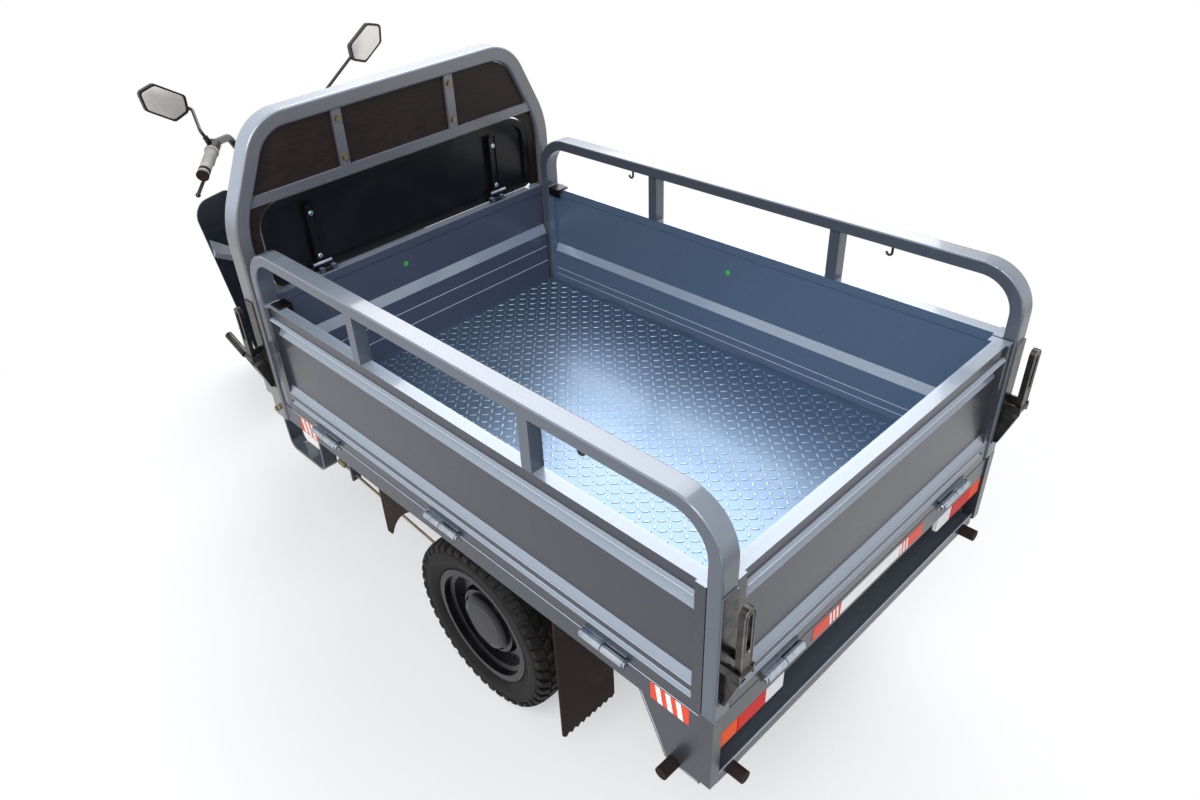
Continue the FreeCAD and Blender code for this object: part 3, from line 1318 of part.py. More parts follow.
def perch(posted):
    """Switch housing and lever bracket clamped on the bar beside the grip, on the left with a mirror post."""
    start = -GRIP_LEN - PERCH_LEN - 1
    ring = Part.makeCylinder(PERCH_R, PERCH_LEN, V(0, 0, start))
    bore = Part.makeCylinder(BAR_R, PERCH_LEN + 2, V(0, 0, start - 1))
    pivot = lever_pivot()
    half = PERCH_LEN / 2
    arm = box((8, pivot.x + 9), (-14, 14), (pivot.z - half, pivot.z + half))
    gap = box((PERCH_R + 1, pivot.x + 20), (-LEVER_T / 2 - AIR, LEVER_T / 2 + AIR), (start - 1, 0))
    pin = rod((pivot.x, -14, pivot.z), (pivot.x, 14, pivot.z), LEVER_PIN_R)
    clamp = placed(fused([ring, arm]).cut(gap).fuse(pin), lever_place())
    if posted:
        post = Part.makeCylinder(MIRROR_POST_R, PERCH_POST, V(0, 0, pivot.z), V(0, -1, 0))
        clamp = fused([clamp, placed(post, grip_place())])
    return clamp.cut(placed(bore, grip_place()))


def clamp_line():
    """Middle of the inner mirror clamp, the way the bar runs there and the way its post points."""
    low, high = bar_points()[:2]
    along = (high - low).normalize()
    post = (AXIS_Z - along * along.z).normalize()
    return low + along * MIRROR_CLAMP_AT, along, post


def mirror_clamp():
    """Ring with a mirror post on the rising part of the bar."""
    middle, along, up = clamp_line()
    start = middle - along * (MIRROR_CLAMP_LEN / 2)
    ring = Part.makeCylinder(PERCH_R, MIRROR_CLAMP_LEN, start, along)
    post = Part.makeCylinder(MIRROR_POST_R, PERCH_POST, middle, up)
    bore = Part.makeCylinder(BAR_R, MIRROR_CLAMP_LEN + 2, start - along, along)
    return fused([ring, post]).cut(bore)


def brake_lever():
    """Hand lever on its perch pin, its blade ahead of the grip."""
    pivot = lever_pivot()
    half = LEVER_T / 2
    eye = rod((pivot.x, -half, pivot.z), (pivot.x, half, pivot.z), 9)
    line = [
        (pivot.x, pivot.z), (pivot.x + 14, pivot.z + 35), (LEVER_OUT + 2, pivot.z + 70),
        (LEVER_OUT - 4, pivot.z + LEVER_LEN)]
    blade = bent_band(line, (25, 25), 5.5, lambda u, w: V(u, -half, w), AXIS_Y * LEVER_T)
    knob = Part.makeSphere(7.5, V(LEVER_OUT - 4, 0, pivot.z + LEVER_LEN))
    bore = rod((pivot.x, -20, pivot.z), (pivot.x, 20, pivot.z), LEVER_PIN_R + RUN_FIT)
    return placed(fused([eye, blade, knob]).cut(bore), lever_place())


def headlight():
    """Round headlight on a plate across the fork tubes, with its glass."""
    across = FORK_HALF + STANCHION_R
    front = FORK_OFFSET + STANCHION_R
    carrier = steered(box((front, front + 6), (-across, across), (YOKE_LOW + 60, YOKE_LOW + 130)))
    start = on_steering(front + 6, 0, YOKE_LOW + 95).x - 10
    shell = Part.makeCylinder(LIGHT_R, LIGHT_LEN, V(start, 0, LIGHT_Z), AXIS_X)
    rear = [edge for edge in shell.Edges if edge.BoundBox.XMax < start + 1]
    shell = shell.makeFillet(LIGHT_R * 0.5, rear)
    face = start + LIGHT_LEN
    recess = Part.makeCylinder(LIGHT_R - 8, 12, V(face - 12, 0, LIGHT_Z), AXIS_X)
    glass = Part.makeSphere(3 * LIGHT_R, V(face + 6 - 3 * LIGHT_R, 0, LIGHT_Z))
    glass = glass.common(Part.makeCylinder(LIGHT_R - 8 - AIR, 40, V(face - 11, 0, LIGHT_Z), AXIS_X))
    return [fused([carrier, shell]).cut(recess), glass]


def perch_mirror():
    """Mirror on the post of its perch."""
    axis = grip_place().Rotation.multVec(V(0, -1, 0))
    base = grip_place().multVec(V(0, -PERCH_POST - AIR, lever_pivot().z))
    return mirror(base, axis, MIRROR_POINTS)


def clamp_mirror():
    """Mirror on the post of the inner clamp."""
    middle, along, axis = clamp_line()
    return mirror(middle + axis * (PERCH_POST + AIR), axis, RIGHT_MIRROR_POINTS)


def mirror(base, axis, corners):
    """Bent stem from its post and the shell around the glass, for the left side."""
    points = [base, base + axis * MIRROR_RISE] + [base + V(*corner) for corner in corners]
    stem = round_pipe(points, (MIRROR_BEND,) * len(corners), MIRROR_STEM_R)
    nut = Part.makeCylinder(8, 12, base, axis)
    x = -MIRROR_T / 2
    w, h = MIRROR_W / 2, MIRROR_H / 2
    corners = [
        (x, -w * 0.55, -h), (x, w * 0.6, -h * 0.75), (x, w, h * 0.25),
        (x, w * 0.5, h), (x, -w * 0.75, h * 0.75), (x, -w, -h * 0.2)]
    shell = rounded_plate(corners, (14,) * 6, AXIS_X * MIRROR_T)
    front = [edge for edge in shell.Edges if edge.BoundBox.XMin > x + MIRROR_T - 0.5]
    shell = shell.makeFillet(8, front)
    inner = [(x - 1, c[1] * 0.9, c[2] * 0.88) for c in corners]
    shell = shell.cut(rounded_plate(inner, (12,) * 6, AXIS_X * 4))
    lean = FreeCAD.Rotation(AXIS_X, MIRROR_LEAN)
    centre = points[-1] + lean.multVec(V(0, w - MIRROR_HOLD, 0))
    return fused([stem, nut, placed(shell, FreeCAD.Placement(centre, lean))])


def fork_sliders():
    """Lower fork legs joined by the front axle."""
    leg = rod((FORK_OFFSET, FORK_HALF, SLIDER_LOW), (FORK_OFFSET, FORK_HALF, SLIDER_TOP), SLIDER_R)
    floor = (FORK_OFFSET, FORK_HALF, STANCHION_LOW - FORK_TRAVEL - 5)
    bore = rod(floor, (FORK_OFFSET, FORK_HALF, SLIDER_TOP + 1), STANCHION_R + RUN_FIT)
    leg = leg.cut(bore)
    end = FORK_HALF + SLIDER_R + 10
    axle = rod((FORK_OFFSET, -end, 0), (FORK_OFFSET, end, 0), FRONT_AXLE_R)
    return steered(fused([leg, mirrored(leg), axle]))


def front_mudguard():
    """Curved mudguard over the front tyre, with short side skirts."""
    inner = TYRE_R + MUDGUARD_GAP
    half = FORK_HALF - SLIDER_R - AIR
    outer = inner + MUDGUARD_T
    section = [
        (inner - 26, -half), (outer - 8, -half), (outer, -half + 8), (outer, half - 8), (outer - 8, half),
        (inner - 26, half), (inner - 26, half - MUDGUARD_T),
        (inner - 9, half - MUDGUARD_T), (inner, half - 9),
        (inner, -half + 9), (inner - 9, -half + MUDGUARD_T), (inner - 26, -half + MUDGUARD_T)]
    centre = front_centre()
    corners = [V(centre[0], centre[1] + across, centre[2] + radius) for radius, across in section]
    face = Part.Face(Part.makePolygon(corners + corners[:1]))
    face.rotate(V(*centre), AXIS_Y, -85)
    return face.revolve(V(*centre), AXIS_Y, 145)


# Brake controls

def parking_lever():
    """Long lever beside the seat, turning between two ears on the hoop leg."""
    pivot = V(*PARK_PIVOT)
    top = V(*PARK_TOP)
    along = (top - pivot).normalize()
    arm = rod(pivot + along * PARK_R, top, PARK_R)
    grip_start = pivot + (top - pivot) * 0.62
    handle = rod(grip_start, top + along * 8, PARK_R + 4)
    half = PARK_R + EYE_PROUD
    eye = rod((pivot.x, pivot.y - half, pivot.z), (pivot.x, pivot.y + half, pivot.z), 14)
    bore = rod((pivot.x, pivot.y - 30, pivot.z), (pivot.x, pivot.y + 30, pivot.z), LATCH_PIN_R + RUN_FIT)
    return fused([arm, handle, eye]).cut(bore)


def pedal_bracket():
    """Ears on the floorboard that hold the pedal pin."""
    pivot = V(*PEDAL_PIVOT)
    pieces = []
    inner = PEDAL_R + EYE_PROUD + AIR
    for y in (pivot.y - inner - EAR_T, pivot.y + inner):
        pieces.append(box((pivot.x - 14, pivot.x + 14), (y, y + EAR_T), (FLOORBOARD_TOP - 1, pivot.z + 14)))
    reach = inner + EAR_T
    pieces.append(cross_pin(pivot, reach, LATCH_PIN_R))
    return pieces


def brake_pedal():
    """Foot brake: arm on its pin and a flat tread pad."""
    pivot = V(*PEDAL_PIVOT)
    pad = V(*PEDAL_PAD)
    arm = rod(pivot + (pad - pivot).normalize() * PEDAL_R, pad, PEDAL_R)
    half = PEDAL_R + EYE_PROUD
    eye = rod((pivot.x, pivot.y - half, pivot.z), (pivot.x, pivot.y + half, pivot.z), 13)
    length, width, height = PEDAL_PAD_SIZE
    tread = box((-length / 2, length / 2), (-width / 2, width / 2), (-height / 2, height / 2))
    rib_z = (height / 2 - 1, height / 2 + 3)
    ribs = [box((x - 3, x + 3), (-width / 2, width / 2), rib_z) for x in (-21, -7, 7, 21)]
    tread = fused([tread] + ribs)
    tread = placed(tread, FreeCAD.Placement(pad, FreeCAD.Rotation(AXIS_Y, -35)))
    bore = rod((pivot.x, pivot.y - 30, pivot.z), (pivot.x, pivot.y + 30, pivot.z), LATCH_PIN_R + RUN_FIT)
    return fused([arm, eye, tread]).cut(bore)


def brake_rod():
    """Pull rod with a fork end, sliding in its guide under the bed."""
    front = V(*ROD_FRONT)
    rear = V(*ROD_REAR)
    along = (rear - front).normalize()
    clevis = rod(front - along * 30, front, 9)
    nut = rod(rear - along * 40, rear - along * 28, 8)
    return fused([rod(front - along, rear, ROD_R), clevis, nut])


def bolt(at, outward):
    """Hexagon bolt head on its washer."""
    outward = V(*outward)
    washer = Part.makeCylinder(9, 1.5, V(*at), outward)
    across = 13 / math.sqrt(3)
    turn = FreeCAD.Rotation(AXIS_Z, outward)
    start = V(*at) + outward * 1.4
    corners = []
    for index in range(6):
        angle = math.radians(60 * index)
        corners.append(start + turn.multVec(V(across * math.cos(angle), across * math.sin(angle), 0)))
    head = Part.Face(Part.makePolygon(corners + corners[:1])).extrude(outward * 5.6)
    return fused([washer, head])


def frame_bolts():
    """Bolts of the straps and the hoop legs."""
    bolts = []
    strap_x = HOOP_X + 6
    for z in (CROSSBAR_TOP + 24, HOOP_TOP - HOOP_FACE / 2 - 24):
        bolts.append(bolt((strap_x, STRAP_Y, HINGE_Z + z), (-1, 0, 0)))
    leg_y = HOOP_HALF + HOOP_FACE / 2
    for x, z in ((HOOP_X + 16, SILL_TOP - 12), (HOOP_FRONT - 16, SILL_LOW + 22)):
        bolts.append(bolt((x, leg_y, z), (0, 1, 0)))
    return [side for piece in bolts for side in both_sides(piece)]


def build():
    """Every node of the tricycle by name, each a list of separate solids."""
    left_lever = latch_lever(rear_latch_place())
    front_lever = latch_lever(front_latch_place())
    side = side_panel()
    guard = guard_rail()
    side_leaves = [side_hinge(x, True) for x in SIDE_HINGE_X]
    fixed = [leaf for x in SIDE_HINGE_X for leaf in both_sides(side_hinge(x, False))]
    fixed += both_sides(tail_hinge(TAIL_HINGE_Y, False))
    wheel = rear_centre()
    metal = rear_wheel_metal(wheel)
    left_tyre = tyre(wheel)
    grip_left = grip()
    lever = brake_lever()
    bar = [handlebar(), perch(True), mirrored(perch(False)), mirrored(mirror_clamp())]
    return {
        "chassis_frame": chassis_frame(),
        "front_frame": [front_frame()],
        "bed_floor": [bed_floor()],
        "front_board": [front_board()],
        "headboard_hoop": [headboard_hoop()],
        "hoop_crossbar": hoop_crossbar(),
        "upper_back_panel": [upper_back_panel()] + both_sides(lower_back_panel()),
        "rear_posts": rear_posts(),
        "rear_bumper": [rear_bumper()],
        "rubber_buffers": rubber_buffers(),
        "tail_lamp_housings": tail_lamp_housings(),
        "tail_lamp_lenses": tail_lamp_lenses(),
        "mudflaps": mudflaps(),
        "side_steps": side_steps(),
        "floorboard": [fused([floorboard()] + pedal_bracket())],
        "legshield": [legshield()],
        "seat_base": [seat_base()],
        "battery_pack": [battery_pack()],
        "motor_controller": [motor_controller()],
        "fixed_hinge_leaves": fixed,
        "front_latch_bases": both_sides(latch_base(front_latch_place())),
        "frame_bolts": frame_bolts(),
        "left_side_panel": [side],
        "left_rail": [guard],
        "left_hinge_leaves": side_leaves,
        "right_side_panel": [mirrored(side)],
        "right_rail": [mirrored(guard)],
        "right_hinge_leaves": [mirrored(leaf) for leaf in side_leaves],
        "tailgate_panel": [tailgate_panel()],
        "tailgate_hinge_leaves": both_sides(tail_hinge(TAIL_HINGE_Y, True)),
        "rear_left_latch": [left_lever],
        "rear_right_latch": [mirrored(left_lever)],
        "front_left_latch": [front_lever],
        "front_right_latch": [mirrored(front_lever)],
        "axle_housing": [axle_housing()],
        "drive_motor": [drive_motor()],
        "leaf_springs": both_sides(leaf_spring()),
        "left_rear_tyre": [left_tyre],
        "left_rear_rim": metal,
        "right_rear_tyre": [mirrored(left_tyre)],
        "right_rear_rim": [mirrored(piece) for piece in metal],
        "fork_yokes": [fork_yokes()],
        "handlebar": bar,
        "left_grip": [grip_left],
        "throttle_grip": [mirrored(grip_left)],
        "headlight": headlight(),
        "fork_sliders": [fork_sliders()],
        "front_mudguard": [front_mudguard()],
        "front_tyre": [tyre(front_centre())],
        "front_rim": front_wheel_metal(),
        "left_brake_lever": [lever],
        "right_brake_lever": [mirrored(lever)],
        "left_mirror": [perch_mirror()],
        "right_mirror": [mirrored(clamp_mirror())],
        "seat_cushion": seat_cushion(),
        "backrest_panel": [backrest_panel()],
        "backrest_pad": [backrest_pad()],
        "parking_lever": [parking_lever()],
        "brake_pedal": [brake_pedal()],
        "brake_rod": [brake_rod()],
    }


def main():
    nodes = {name: Part.makeCompound(solids) for name, solids in build().items()}
    boxes = [shape.optimalBoundingBox(False) for shape in nodes.values()]
    middle = (min(b.XMin for b in boxes) + max(b.XMax for b in boxes)) / 2
    print("middle of the length, from the rear posts:", round(middle, 4))
    os.makedirs("parts", exist_ok=True)
    for name, shape in nodes.items():
        shape.translate(AXIS_X * -middle)
        solids = shape.Solids
        volume = sum(solid.Volume for solid in solids)
        state = "valid" if shape.isValid() else "NOT VALID"
        print(name, len(solids), "solids", round(volume / 1000, 1), "cm3", state)
        shape.exportStep("parts/" + name + ".step")


main()
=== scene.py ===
import json
import math

import bmesh
import bpy
from bpy.props import FloatProperty, FloatVectorProperty, IntProperty, PointerProperty
from mathutils import Matrix, Vector


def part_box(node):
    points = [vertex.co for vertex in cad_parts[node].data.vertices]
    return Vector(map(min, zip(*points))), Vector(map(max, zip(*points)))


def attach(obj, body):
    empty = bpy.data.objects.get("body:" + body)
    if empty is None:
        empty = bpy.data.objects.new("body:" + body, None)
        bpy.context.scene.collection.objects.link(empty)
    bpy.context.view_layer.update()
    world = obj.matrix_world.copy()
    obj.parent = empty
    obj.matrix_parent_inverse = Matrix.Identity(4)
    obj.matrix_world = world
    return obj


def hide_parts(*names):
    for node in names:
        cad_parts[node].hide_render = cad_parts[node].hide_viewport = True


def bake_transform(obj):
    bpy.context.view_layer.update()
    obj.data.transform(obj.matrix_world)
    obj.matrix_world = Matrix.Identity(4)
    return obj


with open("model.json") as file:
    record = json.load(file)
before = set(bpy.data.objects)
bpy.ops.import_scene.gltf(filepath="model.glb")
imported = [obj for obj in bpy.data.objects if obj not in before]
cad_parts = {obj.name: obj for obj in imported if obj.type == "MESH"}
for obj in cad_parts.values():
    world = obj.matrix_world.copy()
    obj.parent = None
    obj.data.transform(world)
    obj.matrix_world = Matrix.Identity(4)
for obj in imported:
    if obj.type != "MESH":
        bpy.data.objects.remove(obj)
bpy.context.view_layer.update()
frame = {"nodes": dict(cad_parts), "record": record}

bl_info = {
    "name": "Cargo tricycle",
    "version": (1, 0, 0),
    "blender": (4, 5, 0),
    "location": "View3D > Sidebar > Tricycle",
    "description": "Finishes, soft pieces, small hardware and studio of the cargo tricycle",
    "category": "Object",
}

NODES = frame["nodes"]
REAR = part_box("rear_posts")[0].x
HINGE_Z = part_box("bed_floor")[1].z
MM = 0.001
SIDES = ((1, "left"), (-1, "right"))

# Width of the top lip of the sides and the tailgate, which keeps the outside colour and not the painted
# light of the bed
TOP_LIP = 0.0295

# Pixels of the picture and the place of its optical axis
PICTURE_WIDTH = 1200
PICTURE_HEIGHT = 800
AXIS_ACROSS = 539
AXIS_DOWN = 409

# Finishes of the nodes that don't take the finish of their slot
OWN_FINISH = {
    "front_board": "board_paint",
    "headboard_hoop": "hoop_paint",
    "hoop_crossbar": "hoop_paint",
    "left_rail": "rail_paint",
    "right_rail": "rail_paint",
    "rear_bumper": "frame_paint",
    "handlebar": "gloss_black",
    "left_brake_lever": "latch_black",
    "right_brake_lever": "latch_black",
}

# Materials by the names of their finishes, filled by the finishes operator
FINISHES = {}


def at(x, y, z):
    """Place in metres from millimetres ahead of the rear posts, to the left and above the bed floor."""
    return Vector((REAR + x * MM, y * MM, HINGE_Z + z * MM))


def extent(node):
    """Low and high corner of a node in the millimetres of at()."""
    return [Vector((corner.x - REAR, corner.y, corner.z - HINGE_Z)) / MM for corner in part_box(node)]


def around(count, start=0.0):
    """Cosine and sine of evenly spaced angles, the first one a share of a step past zero."""
    angles = [2 * math.pi * (k + start) / count for k in range(count)]
    return [(math.cos(angle), math.sin(angle)) for angle in angles]


def tone(colour, times, plus=0.0):
    """Lighter or darker form of a colour."""
    return tuple(min(1.0, channel * times + plus) for channel in colour)


# Shader building


class Socket:
    """Output of a shader node that can be used in sums."""

    def __init__(self, graph, output):
        self.graph = graph
        self.output = output

    def __add__(self, other):
        return self.graph.math("ADD", self, other)

    def __radd__(self, other):
        return self.graph.math("ADD", other, self)

    def __sub__(self, other):
        return self.graph.math("SUBTRACT", self, other)

    def __rsub__(self, other):
        return self.graph.math("SUBTRACT", other, self)

    def __mul__(self, other):
        return self.graph.math("MULTIPLY", self, other)

    def __rmul__(self, other):
        return self.graph.math("MULTIPLY", other, self)

    def __truediv__(self, other):
        return self.graph.math("DIVIDE", self, other)

    def __rtruediv__(self, other):
        return self.graph.math("DIVIDE", other, self)

    def above(self, limit):
        return self.graph.math("GREATER_THAN", self, limit)

    def below(self, limit):
        return self.graph.math("LESS_THAN", self, limit)

    def size(self):
        return self.graph.math("ABSOLUTE", self)

    def rest(self, step):
        """What is left after whole steps are taken away, as a share of one step."""
        return self.graph.math("FRACT", self / step)

    def ramp(self, low, high):
        """Smooth rise from 0 at low to 1 at high."""
        settings = {"interpolation_type": "SMOOTHSTEP", "clamp": True}
        inputs = {"Value": self, "From Min": low, "From Max": high, "To Min": 0.0, "To Max": 1.0}
        return self.graph.make("ShaderNodeMapRange", settings, inputs)


class Graph:
    """Node tree of one material, or of the world."""

    def __init__(self, owner):
        owner.use_nodes = True
        self.tree = owner.node_tree
        self.tree.nodes.clear()

    def make(self, kind, settings=None, inputs=None, output=0):
        """Any node: its settings first, then its sockets. The chosen output is returned where it has any."""
        node = self.tree.nodes.new(kind)
        for key, value in (settings or {}).items():
            setattr(node, key, value)
        for key, value in (inputs or {}).items():
            self.feed(node.inputs[key], value)
        return Socket(self, node.outputs[output]) if node.outputs else None

    def feed(self, socket, value):
        """Link a socket, or give it a value. Colours are written without their alpha."""
        if isinstance(value, Socket):
            self.tree.links.new(value.output, socket)
        elif socket.type == "RGBA":
            socket.default_value = (*value, 1.0)
        else:
            socket.default_value = value

    def math(self, operation, first, second=0.0):
        return self.make("ShaderNodeMath", {"operation": operation}, {0: first, 1: second})

    def mix(self, factor, first, second):
        """Blend of two colours."""
        return self.make("ShaderNodeMix", {"data_type": "RGBA"}, {0: factor, 6: first, 7: second}, 2)

    def place(self):
        """Place on the object, in metres."""
        return self.make("ShaderNodeTexCoord", output="Object")

    def axis(self, place, index):
        return self.make("ShaderNodeSeparateXYZ", None, {0: place}, index)

    def stretched(self, place, scale):
        return self.make("ShaderNodeVectorMath", {"operation": "MULTIPLY"}, {0: place, 1: scale})

    def facing_up(self):
        normal = self.make("ShaderNodeNewGeometry", output="Normal")
        return self.axis(normal, 2)

    def noise(self, place, scale, detail=2.0, rough=0.5):
        inputs = {"Vector": place, "Scale": scale, "Detail": detail, "Roughness": rough}
        return self.make("ShaderNodeTexNoise", None, inputs)

    def cells(self, place, scale):
        return self.make("ShaderNodeTexVoronoi", None, {"Vector": place, "Scale": scale})

    def bump(self, height, strength, distance=0.001):
        inputs = {"Strength": strength, "Distance": distance, "Height": height}
        return self.make("ShaderNodeBump", None, inputs)

    def surface(self, **inputs):
        """Principled surface. The names of its sockets are written in lower case."""
        values = {}
        for key, value in inputs.items():
            values[key.replace("_", " ").title().replace("Ior", "IOR")] = value
        self.finish(self.make("ShaderNodeBsdfPrincipled", None, values))

    def finish(self, shader, kind="ShaderNodeOutputMaterial"):
        self.make(kind, None, {"Surface": shader})


def new_finish(name):
    """Graph of a new material that is kept under the name of its finish."""
    FINISHES[name] = bpy.data.materials.new(name)
    return Graph(FINISHES[name])


# Finishes


def painted_bed_light_mask(g, place):
    """1 on faces that look into the bed, where the paint takes its lighter, bluer painted-light colour."""
    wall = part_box("left_side_panel")[1].y - TOP_LIP
    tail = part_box("tailgate_panel")[0].x + TOP_LIP
    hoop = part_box("headboard_hoop")[0].x
    along = g.axis(place, 0)
    return g.axis(place, 1).size().below(wall) * along.above(tail) * along.below(hoop)


def paint(name, colour, inner, flake, gloss, dust, ledge_highlight_share=0.75):
    """Metallic paint under a clear coat. Faces inside the bed take the inner colour, a lighter, bluer copy
    of the paint as painted light; up-facing ledges take a painted highlight and settled dust.
    """
    ledge_highlight_colour = (0.38, 0.45, 0.54)
    dust_grey = (0.42, 0.42, 0.42)
    g = new_finish(name)
    place = g.place()
    cloud = g.noise(place, 5.0, 3.0)
    spark = g.noise(place, 1400.0, 1.0)
    speck = g.noise(place, 85.0, 4.0, 0.65)
    peel = g.noise(place, 420.0, 1.0)
    # Up-facing mask: carries settled dust and the painted highlight on ledges
    ledge = g.facing_up().ramp(0.1, 0.5)
    settled = ledge * speck.ramp(0.52, 0.80) * dust
    base = g.mix(spark.ramp(0.45, 0.75) * flake + cloud * 0.12, colour, tone(colour, 1.7, 0.01))
    # Painted light: faces that look into the bed take the lighter, bluer inner colour
    base = g.mix(painted_bed_light_mask(g, place), base, inner)
    # Painted highlight: up-facing ledges and tops lightened towards a pale blue-grey
    base = g.mix(ledge * ledge_highlight_share, base, ledge_highlight_colour)
    base = g.mix(settled, base, dust_grey)
    g.surface(
        base_color=base, roughness=gloss + cloud * 0.08 + settled * 0.3,
        metallic=0.4 - settled * 0.2 - ledge * 0.2, specular_ior_level=0.35,
        coat_weight=0.1 + ledge * 0.75, coat_roughness=0.06, normal=g.bump(peel, 0.03))


def checker_paint(name, colour):
    """Floor paint, scuffed where loads slide."""
    scuffed = (0.33, 0.41, 0.49)
    chipped = (0.40, 0.44, 0.48)
    g = new_finish(name)
    place = g.place()
    cloud = g.noise(place, 4.0, 4.0, 0.6)
    drag = g.noise(g.stretched(place, (9.0, 90.0, 20.0)), 3.0, 3.0)
    speck = g.noise(place, 120.0, 3.0)
    worn = drag.ramp(0.55, 0.8) * cloud.ramp(0.4, 0.65)
    base = g.mix(worn * 0.35, colour, scuffed)
    base = g.mix(speck.ramp(0.58, 0.8) * 0.25, base, chipped)
    g.surface(
        base_color=base, roughness=0.27 + cloud * 0.14 + speck * 0.05, metallic=0.85,
        coat_weight=0.4, coat_roughness=0.16, normal=g.bump(speck, 0.05))


def plated(name, colour, tint, rough):
    """Plated steel with cloudy plating and fine drawing marks."""
    g = new_finish(name)
    place = g.place()
    cloud = g.noise(place, 40.0, 4.0, 0.6)
    lines = g.noise(g.stretched(place, (40.0, 900.0, 900.0)), 1.5, 2.0)
    spots = g.cells(place, 260.0)
    base = g.mix(cloud.ramp(0.35, 0.7), colour, tint)
    value = rough + cloud * 0.16 + spots * 0.08
    g.surface(base_color=base, roughness=value, metallic=1.0, normal=g.bump(lines, 0.06))


def rubber(name, colour, grain, rough, shine=0.35):
    """Rubber with a matt grain and a film of road dust."""
    road_dust = (0.050, 0.044, 0.038)
    g = new_finish(name)
    place = g.place()
    fine = g.noise(place, grain, 3.0, 0.6)
    cloud = g.noise(place, 14.0, 4.0, 0.6)
    base = g.mix(cloud.ramp(0.45, 0.8) * 0.35, colour, road_dust)
    g.surface(
        base_color=base, roughness=rough + cloud * 0.15, specular_ior_level=shine,
        normal=g.bump(fine, 0.25))


def plastic(name, colour, rough, grain, coat, shine=0.5):
    """Moulded plastic with a spark-eroded grain."""
    g = new_finish(name)
    place = g.place()
    fine = g.noise(place, grain, 2.0)
    cloud = g.noise(place, 9.0, 3.0)
    base = g.mix(cloud.ramp(0.4, 0.75) * 0.5, colour, tone(colour, 1.5, 0.006))
    g.surface(
        base_color=base, roughness=rough + cloud * 0.08, specular_ior_level=shine, coat_weight=coat,
        coat_roughness=0.05, normal=g.bump(fine, 0.06))


def film_board(name, dark, light, scuffed):
    """Film on plywood with the grain of the wood and soft scuffs."""
    g = new_finish(name)
    place = g.place()
    grain = g.noise(g.stretched(place, (1.0, 1.0, 16.0)), 30.0, 4.0, 0.6)
    cloud = g.noise(place, 7.0, 4.0)
    base = g.mix(grain.ramp(0.35, 0.75), dark, light)
    base = g.mix(cloud.ramp(0.55, 0.85) * 0.3, base, scuffed)
    g.surface(
        base_color=base, roughness=0.40 + grain * 0.16, specular_ior_level=0.25, normal=g.bump(grain, 0.12))


def leatherette(name, dark, light):
    """Grained seat cover."""
    g = new_finish(name)
    place = g.place()
    grain = g.cells(place, 420.0)
    cloud = g.noise(place, 12.0, 3.0)
    g.surface(
        base_color=g.mix(cloud, dark, light), roughness=0.42 + cloud * 0.14, normal=g.bump(grain, 0.22))


def cast_metal(name, colour, metallic, rough):
    """Sand-cast or forged metal with dark patches."""
    g = new_finish(name)
    place = g.place()
    sand = g.noise(place, 330.0, 3.0, 0.6)
    cloud = g.noise(place, 18.0, 4.0)
    base = g.mix(cloud.ramp(0.4, 0.7), colour, tone(colour, 0.55))
    g.surface(
        base_color=base, roughness=rough + cloud * 0.16, metallic=metallic, normal=g.bump(sand, 0.18))


def lamp_lens(name, clear, red, amber):
    """Ribbed lamp plastic: clear nearest the middle of the vehicle, then red, with amber outside."""
    clear_end = 0.352
    red_end = 0.440
    rib_pitch = 0.006
    glint = (0.95, 0.50, 0.30)
    g = new_finish(name)
    place = g.place()
    out = g.axis(place, 1).size()
    ribs = g.axis(place, 1).rest(rib_pitch)
    dots = g.cells(place, 300.0)
    base = g.mix(out.above(clear_end), clear, red)
    base = g.mix(out.above(red_end), base, amber)
    base = g.mix(dots.ramp(0.2, 0.6) * 0.02, base, glint)
    height = ribs.ramp(0.0, 0.5) - ribs.ramp(0.5, 1.0) + dots * 0.5
    g.surface(
        base_color=base, roughness=0.30 + dots * 0.05, specular_ior_level=0.04, normal=g.bump(height, 0.4))


def reflective(name, colour):
    """Reflective film with its fine honeycomb."""
    glint = (0.95, 0.9, 0.88)
    g = new_finish(name)
    comb = g.cells(g.place(), 420.0)
    base = g.mix(comb.ramp(0.3, 0.7) * 0.03, colour, glint)
    g.surface(
        base_color=base, roughness=0.36 + comb * 0.1, specular_ior_level=0.12, coat_weight=0.03,
        coat_roughness=0.1, normal=g.bump(comb, 0.15))


def silvered(name, dark, light):
    """Mirror glass under a thin film of dust."""
    g = new_finish(name)
    film = g.noise(g.place(), 25.0, 3.0)
    g.surface(base_color=g.mix(film, dark, light), roughness=film * 0.1 + 0.25, metallic=0.5)


def sticker(name, colour):
    """Plain coloured film."""
    g = new_finish(name)
    cloud = g.noise(g.place(), 200.0, 2.0)
    g.surface(base_color=g.mix(cloud, colour, tone(colour, 1.2)), roughness=0.4 + cloud * 0.1)


